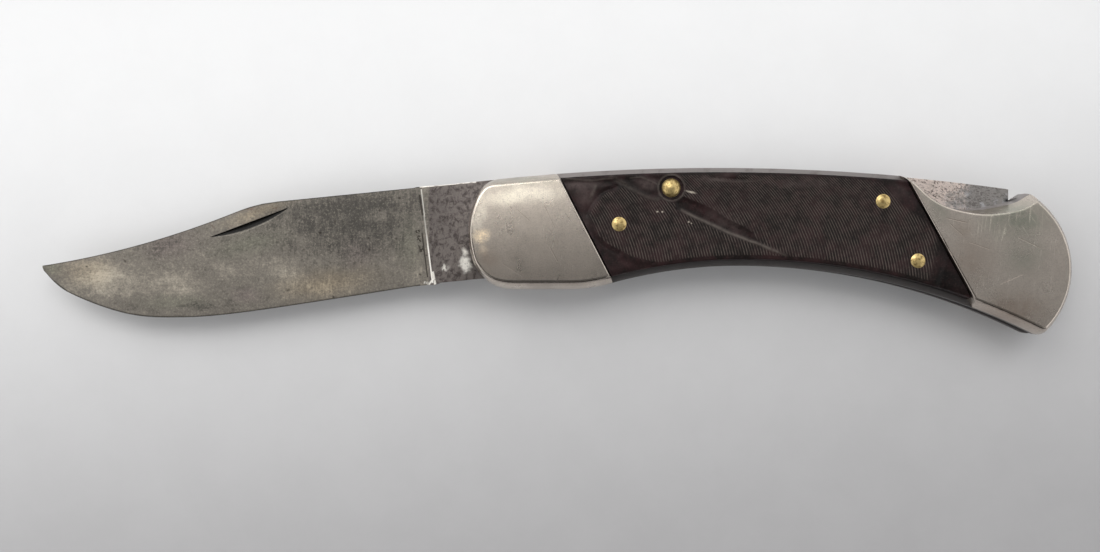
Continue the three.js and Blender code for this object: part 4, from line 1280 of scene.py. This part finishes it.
    def relief(self, x: np.ndarray, y: np.ndarray) -> tuple[np.ndarray, dict[str, np.ndarray]]:
        """Moulded relief of the face.

        Args:
            x: Places along the handle.
            y: Places across it.

        Returns:
            Heights to add, and how ribbed, rubbed and glossy each place is.
        """
        s = self.shape
        from_back = s.back(x, np.full_like(x, s.ledge_back)) - y
        from_belly = y - s.belly(x, np.full_like(x, s.ledge_belly))
        outside = reach_outside(x, y, self.rib_field)
        in_scar = step(reach_outside(x, y, self.scar), 0.45, -0.5)
        in_lobe = step(reach_outside(x, y, self.lobe), 0.3, -0.6)
        in_patch = step(reach_outside(x, y, self.patch), 0.35, -0.9)
        soft = step(x, 62.0, 74.0)
        ribbed = step(outside / (1 + 5 * soft) + 0.1 * soft, 0.15, -0.25)
        ribbed *= step(from_back, 0.35, 0.8) * step(from_belly, 0.55, 1.1)
        from_rocker = np.hypot(x - self.rocker[0], y - self.rocker[1])
        ribbed *= step(from_rocker, 2.6, 3.2)
        ribbed *= step(in_scar, 0.25, 0.0)
        high = -0.25 * step(outside, 0.0, 1.6) * step(from_back, 0.4, 1.6)
        high -= 0.16 * step(from_belly, 1.5, 0.3)
        high += 0.2 * in_patch + 0.24 * in_lobe - self.scar_depth * in_scar
        rubbed = 0.55 * step(from_rocker, 3.1, 2.7)
        for crease in self.creases:
            share = crease.share(x, y)
            high -= crease.depth * share
            ribbed *= 1 - 0.75 * share * (crease.depth < 0)
            rubbed = np.maximum(rubbed, crease.rubbed * share)
        high += self.waviness * np.sin(x * 0.55 + 0.8 * np.sin(y * 0.4)) * np.sin(y * 0.5 + x * 0.13)
        glossy = np.maximum(in_scar, step(outside, 0.0, 1.2) * step(x, 60.0, 80.0))
        looks = {"ribbed": ribbed, "rubbed": rubbed, "glossy": glossy}
        return np.minimum(high, self.tallest), looks

    def build(self, side: Side) -> None:
        """Models one cover.

        Args:
            side: Which side of the knife it is on.
        """
        x, y, z = self.grid()
        bpy.ops.object.select_all(action="DESELECT")
        bpy.ops.mesh.primitive_grid_add(
            x_subdivisions=self.columns - 1, y_subdivisions=self.rows - 1, size=1.0
        )
        piece = bpy.context.active_object
        piece.name = piece.data.name = f"{side.label}_ribbed_cover"
        relief, looks = self.relief(x, y)
        depth = step(z, self.shape.cover_face - self.edge_round, self.shape.cover_face)
        z = z + relief * depth
        places = np.stack([x.ravel(), y.ravel(), side.value * z.ravel()], axis=1) * MM + np.array(PIVOT)
        move_vertices(piece, places)
        for name, values in looks.items():
            mark(piece, name, "POINT", (values * depth).ravel())
        floor = (0, 0, side.height(self.shape.liner_outer))
        with editing(piece):
            bpy.ops.mesh.select_all(action="DESELECT")
            bpy.ops.mesh.select_non_manifold()
            bpy.ops.mesh.extrude_region_move()
            bpy.ops.transform.resize(value=(1, 1, 0), orient_type="GLOBAL", center_override=floor)
            bpy.ops.mesh.edge_face_add()
            close_up()
        self.sink_counterbore(piece, side)
        bpy.ops.object.shade_smooth_by_angle(angle=math.radians(self.sharp))
        dress(piece, self.finish, "cover_plastic", "handle", f"{side.label}_cover")

    def sink_counterbore(self, piece: Piece, side: Side) -> None:
        """Cuts the seat of the rocker pin's head.

        Args:
            piece: The cover.
            side: Which side it is on.
        """
        half = 1.0
        middle = side.height(self.shape.cover_face - self.counterbore_depth + half)
        x, y = (PIVOT[i] + self.rocker[i] * MM for i in (0, 1))
        bpy.ops.object.select_all(action="DESELECT")
        bpy.ops.mesh.primitive_cylinder_add(
            vertices=self.counterbore_sides,
            radius=self.counterbore_radius * MM,
            depth=2 * half * MM,
            location=(x, y, middle),
        )
        cutter = bpy.context.active_object
        modify(piece, "BOOLEAN", operation="DIFFERENCE", solver="EXACT", object=cutter)
        bpy.data.objects.remove(cutter)


@dataclass
class Bolsters:
    """The four end caps of satin white metal, with slightly domed faces."""

    shape: HandleShape
    finish: Material
    rim: tuple[Point, ...] = ((0.12, 0.15), (0.17, 0.085), (0.20, 0.03))
    rim_reach: float = 0.75
    rim_tilt: Point = (0.2, 0.992)
    face_tilt: float = 0.99
    face_slack: float = 0.01
    front_dome: float = 0.42
    rear_dome: float = 0.16
    dome_from: float = 5.6
    pitch: float = 1.4
    sharp: float = 45.0

    def round_rim(self, piece: Piece, side: Side) -> None:
        """Rounds the rim of the flat face: the face sinks, then rises again in inset rings.

        Args:
            piece: The bolster.
            side: Which side of the knife it is on.
        """
        low = self.shape.bolster_face - self.face_slack

        def on_top(face: bpy.types.MeshPolygon) -> bool:
            """Whether a face is part of the flat one."""
            return side.level(face.center.z) > low and side.value * face.normal.z > self.face_tilt

        with choosing(piece, "FACE", on_top):
            bpy.ops.mesh.dissolve_faces()
            sink = sum(rise for _, rise in self.rim)
            bpy.ops.transform.translate(value=(0, 0, -side.value * sink * MM))
            for width, rise in self.rim:
                bpy.ops.mesh.inset(thickness=width * MM, depth=0.0, use_even_offset=False, use_boundary=True)
                bpy.ops.transform.translate(value=(0, 0, side.value * rise * MM))

    def build(self, side: Side, end: End) -> None:
        """Models one bolster.

        Args:
            side: Which side of the knife it is on.
            end: Which end of the handle.
        """
        node = f"{side.label}_{end.value}_bolster"
        piece = cast(node, f"{side.label}_{end.value}_cap")
        self.round_rim(piece, side)
        low, high = (c.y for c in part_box(node))
        count = int((high - low) / (self.pitch * MM))
        slice_rows(piece, [low + (high - low) * (i + 0.5) / count for i in range(count)], (0.0, 1.0, 0.0))
        places = vertices_of(piece)
        across = (places[:, 1] - (low + high) / 2) / ((high - low) / 2)
        dome = self.front_dome if end is End.FRONT else self.rear_dome
        drop = dome * across**2 * step(side.level(places[:, 2]), self.dome_from, self.shape.bolster_face)
        places[:, 2] -= side.value * drop * MM
        move_vertices(piece, places)
        foot = self.shape.bolster_face - self.rim_reach
        steep, flat = self.rim_tilt

        def on_rim(face: bpy.types.MeshPolygon) -> bool:
            """Whether a face is one of the rounded rim's."""
            return steep < side.value * face.normal.z < flat and side.level(face.center.z) > foot

        mark_faces(piece, "rim", on_rim)
        smooth(piece, self.sharp)
        dress(piece, self.finish, "bolster_metal", "handle", node)


@dataclass
class SteelWork:
    """The blade, the lock bar, the spring, the liners and the spacer: ground steel with eased edges."""

    patina: BladePatina
    bar_finish: Material
    liner_finish: Material
    blade_edge: float = 0.12
    blade_bend: float = 50.0
    blade_sharp: float = 24.0
    flank_tilt: float = 0.35
    bar_edge: float = 0.22
    liner_edge: float = 0.16
    ricasso_from: Point = (-24.2, -20.5)
    tang_side: float = 0.9
    tang_back: float = 3.0
    nick: tuple[Point, Point] = ((-68.7, -0.8), (-51.4, 5.65))
    nick_width: float = 1.6
    nick_slack: float = 0.03
    nick_ends: float = 0.002
    least_swell: float = 0.01
    grime_and_shade_tilt: float = 0.3
    grime_and_shade_below: float = 0.05
    spring_line: tuple[Point, Point] = ((91.3, -2.7), (85.0, -2.7))
    spring_cuts: tuple[float, ...] = (86.8, 87.4, 88.0, 88.6, 89.2, 89.8, 90.4, 91.0)
    spring_taper: tuple[tuple[float, float, float, float], ...] = (
        (85.2, 2.63, 0.58, 0.14), (86.2, 1.9, 0.58, 0.14), (87.2, 1.17, 0.58, 0.14),
        (88.2, 0.39, 0.4, 0.1), (89.4, -0.43, 0.1, 0.0), (92.0, -1.81, 0.0, 0.0), (105.0, -2.7, 0.0, 0.0),
    )
    stations: tuple[float, ...] = (
        -103.9, -102.5, -99.0, -95.0, -90.5, -86.0, -81.0, -76.0, -71.0, -66.0, -62.0, -58.0, -54.0, -49.0,
        -41.0, -32.0, -24.0, -12.0,
    )

    def rims(self) -> tuple[tuple[Point, ...], tuple[Point, ...]]:
        """Finds the blade's outline from above at its stations.

        Returns:
            Points of the back and points of the cutting edge, in millimetres from the pivot.
        """
        mesh = frame["nodes"]["blade"].data
        places = (vertices_of(frame["nodes"]["blade"]) - np.array(PIVOT)) / MM
        ends = np.array([edge.vertices[:] for edge in mesh.edges])
        first, second = places[ends[:, 0]], places[ends[:, 1]]
        back, edge = [], []
        for x in self.stations:
            across = (first[:, 0] - x) * (second[:, 0] - x) < 0
            a, b = first[across], second[across]
            y = a[:, 1] + (b[:, 1] - a[:, 1]) * (x - a[:, 0]) / (b[:, 0] - a[:, 0])
            back.append((x, float(y.max())))
            edge.append((x, float(y.min())))
        return tuple(back), tuple(edge[:-1])

    def blade(self) -> None:
        """Models the blade."""
        piece = cast("blade", "clip_blade", False)
        start, whole = self.ricasso_from

        def on_ricasso(place: Vector) -> bool:
            """Whether a place is on the rim of the ricasso or of the tang."""
            x, y, z = (place - PIVOT) / MM
            return x > start and abs(z) > self.tang_side and (x > whole or y > self.tang_back)

        self.grime_and_shade(piece)
        round_edges(piece, self.blade_edge, 2, self.blade_bend, on_ricasso)
        self.sharpen_nick(piece)
        mark_faces(piece, "flank", lambda face: abs(face.normal.z) > self.flank_tilt)
        pick(piece)
        bpy.ops.object.shade_smooth_by_angle(angle=math.radians(self.blade_sharp), keep_sharp_edges=True)
        dress(piece, self.patina.make(*self.rims()), "blade_steel", "blade", "blade")

    def spring(self) -> None:
        """Models the leaf spring, which bends from its slot in the spacer to the lock bar's tail."""
        piece = cast("leaf_spring", "bent_leaf")
        slice_rows(piece, [PIVOT.x + x * MM for x in self.spring_cuts], (1.0, 0.0, 0.0))
        places = vertices_of(piece)
        x, y = ((places[:, i] - PIVOT[i]) / MM for i in (0, 1))
        stations, middle, lower, upper = (np.array(row) for row in zip(*self.spring_taper))
        below = y < np.interp(x, stations, middle)
        ground = np.where(below, np.interp(x, stations, lower), -np.interp(x, stations, upper))
        places[:, 1] += ground * MM
        move_vertices(piece, places)
        smooth(piece)
        piece.data.materials.clear()
        piece.data.materials.append(self.liner_finish)
        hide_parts("leaf_spring")
        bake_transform(piece)
        log.info("%s: %d faces", piece.name, len(piece.data.polygons))

    def in_nick(self, place: Vector) -> bool:
        """Whether a place is inside the nail nick's crescent, seen from above.

        Args:
            place: The place, in metres.

        Returns:
            Whether it is.
        """
        x, y, z = (place - PIVOT) / MM
        (ax, ay), (bx, by) = self.nick
        length = math.hypot(bx - ax, by - ay)
        ux, uy = (bx - ax) / length, (by - ay) / length
        share = ((x - ax) * ux + (y - ay) * uy) / length
        below = (x - ax) * uy - (y - ay) * ux
        swell = max(1 - (2 * share - 1) ** 2, self.least_swell)
        deep = -self.nick_slack <= below <= self.nick_width * swell + self.nick_slack
        return z > 0 and -self.nick_ends <= share <= 1 + self.nick_ends and deep

    def grime_and_shade(self, piece: Piece) -> None:
        """Marks the nick's grime and painted shade: most in the deep corner under its upper side.

        Args:
            piece: The blade.
        """
        deep = [0.0] * len(piece.data.vertices)
        for face in piece.data.polygons:
            if self.in_nick(face.center) and face.normal.z < self.grime_and_shade_tilt:
                corners = [piece.data.vertices[v] for v in face.vertices]
                top = max(corner.co.z for corner in corners)
                for corner in corners:
                    if corner.co.z < top - self.grime_and_shade_below * MM:
                        deep[corner.index] = 1.0
        mark(piece, "grime_and_shade", "POINT", deep)

    def sharpen_nick(self, piece: Piece) -> None:
        """Keeps the nick's edges sharp in the shading.

        Args:
            piece: The blade.
        """
        sides: dict[tuple[int, int], set[bool]] = {}
        for face in piece.data.polygons:
            within = self.in_nick(face.center)
            for key in face.edge_keys:
                sides.setdefault(key, set()).add(within)
        with choosing(piece, "EDGE", lambda edge: len(sides[edge.key]) == 2):
            bpy.ops.mesh.mark_sharp()

    def lock_bar(self) -> None:
        """Models the lock bar."""
        piece = cast("lock_bar", "rocker_bar")
        ease(piece, self.bar_edge, 3)
        dress(piece, self.bar_finish, "lock_bar_steel", "lock_bar", "lock_bar")

    def plate(self, node: str, name: str) -> None:
        """Models a liner or the butt's spacer, which are flat plates with eased edges.

        Args:
            node: CAD node that it replaces.
            name: Name of the piece.
        """
        piece = cast(node, name)
        ease(piece, self.liner_edge, 2)
        dress(piece, self.liner_finish, "liner_steel", "handle", node)


@dataclass(frozen=True)
class DomeHead:
    """Sizes of a domed pin's head and shank, in millimetres."""

    radius: float
    height: float
    seat: float
    shank: float
    foot: float


@dataclass
class Pins:
    """The domed brass pins of the covers and of the lock bar."""

    finish: Material
    hidden_finish: Material
    sides: int = 40
    steps: int = 7
    sharp: float = 50.0
    tip: float = 0.02
    rivet: DomeHead = DomeHead(1.5, 0.46, 6.5, 0.9, 1.55)
    rocker: DomeHead = DomeHead(1.95, 1.0, 6.0, 1.2, -6.0)

    def dome(self, head: DomeHead, place: Vector, side: Side) -> None:
        """Raises a head on the edit-mode circle that is selected, from its seat to its top.

        Args:
            head: Sizes.
            place: Middle of the pin, at the blade's middle plane.
            side: Which way the head points.
        """
        ball = (head.radius**2 + head.height**2) / (2 * head.height)
        start = math.asin(head.radius / ball)
        radius, level = head.shank, head.seat
        for i in range(self.steps + 1):
            angle = start * (1 - i / self.steps)
            new_radius = max(ball * math.sin(angle), self.tip)
            new_level = head.seat + head.height - ball * (1 - math.cos(angle))
            self.extrude(side.value * (new_level - level))
            factor = new_radius / radius
            bpy.ops.transform.resize(value=(factor, factor, 1), center_override=tuple(place))
            radius, level = new_radius, new_level
        bpy.ops.mesh.merge(type="CENTER")

    def extrude(self, rise: float) -> None:
        """Extrudes what is selected upwards by millimetres."""
        bpy.ops.mesh.extrude_region_move(TRANSFORM_OT_translate={"value": (0, 0, rise * MM)})

    def build(self, name: str, node: str, head: DomeHead, side: Side, both: bool) -> None:
        """Models one pin.

        Args:
            name: Name of the piece.
            node: CAD node that it replaces.
            head: Sizes.
            side: Which way its head points.
            both: Whether it has a head at each end.
        """
        low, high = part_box(node)
        place = Vector(((low.x + high.x) / 2, (low.y + high.y) / 2, PIVOT.z))
        start = place + Vector((0, 0, side.value * head.foot * MM))
        bpy.ops.object.select_all(action="DESELECT")
        bpy.ops.mesh.primitive_circle_add(
            vertices=self.sides, radius=head.shank * MM, fill_type="NOTHING", location=start
        )
        piece = bpy.context.active_object
        piece.name = piece.data.name = name
        bpy.ops.object.transform_apply(location=True, rotation=True, scale=True)
        with editing(piece):
            bpy.ops.mesh.select_all(action="SELECT")
            self.extrude(side.value * (head.seat - head.foot))
            self.dome(head, place, side)
            bpy.ops.mesh.select_all(action="DESELECT")
            bpy.ops.mesh.select_non_manifold()
            if both:
                self.dome(head, place, Side.PILE)
            else:
                bpy.ops.mesh.edge_face_add()
            close_up()
        bpy.ops.object.shade_smooth_by_angle(angle=math.radians(self.sharp))
        dress(piece, self.finish, "pin_brass", "handle", node)

    def all(self) -> None:
        """Models the rivets and the rocker pin, and dresses the pins that are ground flush."""
        for side in Side:
            for where in ("front", "rear_upper", "rear_lower"):
                node = f"{side.label}_{where}_rivet"
                self.build(f"{side.label}_{where}_dome", node, self.rivet, side, False)
        self.build("rocker_dome_pin", "rocker_pin", self.rocker, Side.MARK, True)
        for node in ("pivot_pin", "upper_butt_pin", "lower_butt_pin"):
            dress_node(node, self.hidden_finish)


@dataclass(frozen=True)
class Lamp:
    """A soft area lamp that points at the knife."""

    place: Triple
    size: Point
    power: float
    tint: Colour = (1.0, 1.0, 1.0)
    in_reflections: bool = True


@dataclass
class Studio:
    """The pale table, the light and the camera straight above."""

    image: Point = (1100.0, 552.0)
    focal_pixels: float = 1000.0
    sensor: float = 36.0
    height: float = 0.220
    nearest: float = 0.01
    axis: Point = (3.62, -8.94)
    # Painted light falloff: the table's colour runs from the darker near colour to the brighter far one.
    table_shaded_near: Colour = (0.355, 0.352, 0.36)
    table_lit_far: Colour = (0.785, 0.79, 0.80)
    table_beyond: Colour = (0.40, 0.40, 0.405)
    table_slope: float = -0.11
    table_size: float = 4.0
    table_rough: float = 0.8
    fleck_span: Point = (-0.018, 0.018)
    near_to_far: Point = (-0.085, 0.06)
    far_to_beyond: Point = (0.056, 0.20)
    room_dark: float = 0.03
    room_bright: float = 1.1
    zenith_near: float = 0.10
    zenith_far: float = 0.58
    zenith_right: float = 1.65
    sides_span: Point = (-0.85, -0.4)
    left_span: Point = (-0.02, 0.22)
    right_span: Point = (-0.14, 0.22)
    across_span: Point = (0.12, 0.36)
    upward_span: Point = (0.5, 0.88)
    window: Lamp = Lamp((-0.40, 0.55, 0.62), (0.7, 0.4), 1.65, (1.0, 0.99, 0.97))
    ceiling: Lamp = Lamp((-0.25, 0.41, 0.89), (0.5, 0.5), 1.9, (1.0, 0.97, 0.92))
    overhead: Lamp = Lamp((0.20, 0.36, 0.72), (0.32, 0.32), 1.35, (1.0, 1.0, 1.0), False)
    fill: Lamp = Lamp((-0.40, -0.30, 0.62), (0.6, 0.6), 1.42, (1.0, 1.0, 1.0), False)

    def floor(self) -> None:
        """Lays the table top, whose colour is painted brighter towards the window and darker towards the
        near side and the right, for the light's falloff, and darker again beyond the top of the picture.
        """
        bpy.ops.object.select_all(action="DESELECT")
        bpy.ops.mesh.primitive_plane_add(size=self.table_size, location=(0, 0, 0))
        plane = bpy.context.active_object
        plane.name = "table_top"
        g = Graph("table_paper")
        fleck = g.span(g.noise(60, 5, 0.7), 0.3, 0.7, self.fleck_span)
        slope = g.math("MULTIPLY_ADD", g.axis("X"), self.table_slope, g.axis("Y"))
        far = g.math("ADD", g.span(slope, *self.near_to_far), fleck)
        colour = g.mix(far, self.table_shaded_near, self.table_lit_far)
        g.set("Base Color", g.mix(g.span(g.axis("Y"), *self.far_to_beyond), colour, self.table_beyond))
        g.set("Roughness", self.table_rough)
        plane.data.materials.append(g.material)

    def hang(self, name: str, lamp: Lamp) -> None:
        """Hangs a lamp.

        Args:
            name: Its name.
            lamp: What it is like.
        """
        data = bpy.data.lights.new(name, "AREA")
        data.shape = "RECTANGLE"
        data.size, data.size_y = lamp.size
        data.energy = lamp.power
        data.color = lamp.tint
        hung = bpy.data.objects.new(name, data)
        hung.location = lamp.place
        hung.visible_glossy = lamp.in_reflections
        hung.rotation_euler = (-Vector(lamp.place)).to_track_quat("-Z", "Y").to_euler()
        bpy.context.scene.collection.objects.link(hung)

    def light(self) -> None:
        """Sets the lamps and the room's own light: dark near side, bright other sides, dim ceiling."""
        world = bpy.data.worlds.new("room")
        world.use_nodes = True
        bpy.context.scene.world = world
        room = Nodes(world.node_tree)
        towards = room.parts(room.add("TexCoord").outputs["Generated"])
        sides = room.span(towards["Y"], *self.sides_span, (self.room_dark, self.room_bright))
        left = room.span(towards["Y"], *self.left_span, (self.zenith_near, self.zenith_far))
        near_right = self.zenith_near * self.zenith_right
        right = room.span(towards["Y"], *self.right_span, (near_right, self.zenith_far))
        zenith = room.span(towards["X"], *self.across_span, (left, right))
        whole = room.span(towards["Z"], *self.upward_span, (sides, zenith))
        room.link(whole, room.tree.nodes["Background"].inputs["Color"])
        for name, lamp in (
            ("window", self.window),
            ("ceiling", self.ceiling),
            ("overhead", self.overhead),
            ("fill", self.fill),
        ):
            self.hang(name, lamp)

    def camera(self) -> None:
        """Places the camera over the middle of the picture, looking straight down."""
        data = bpy.data.cameras.new("camera")
        data.sensor_fit = "HORIZONTAL"
        data.sensor_width = self.sensor
        data.lens = self.sensor * self.focal_pixels / self.image[0]
        data.clip_start = self.nearest
        camera = bpy.data.objects.new("camera", data)
        camera.location = (PIVOT.x + self.axis[0] * MM, PIVOT.y + self.axis[1] * MM, self.height)
        bpy.context.scene.collection.objects.link(camera)
        bpy.context.scene.camera = camera

    def build(self) -> None:
        """Sets up the whole studio."""
        self.floor()
        self.light()
        self.camera()
        bpy.context.scene.view_settings.view_transform = "Standard"


def main() -> None:
    """Builds the knife and the studio."""
    logging.basicConfig(level=logging.INFO, format="%(message)s")
    shape = HandleShape()
    white_metal = SatinWhiteMetal().make()
    liner_steel = LinerSteel().make()
    steel = SteelWork(BladePatina(), PittedSteel().make(), liner_steel)
    steel.blade()
    steel.lock_bar()
    steel.plate("butt_spacer", "butt_block")
    steel.spring()
    bolsters = Bolsters(shape, white_metal)
    covers = Covers(shape, RibbedPlastic().make())
    for side in Side:
        steel.plate(f"{side.label}_liner", f"{side.label}_side_plate")
        for end in End:
            bolsters.build(side, end)
        covers.build(side)
    Pins(Brass().make(), white_metal).all()
    Studio().build()


if __name__ == "__main__":
    main()
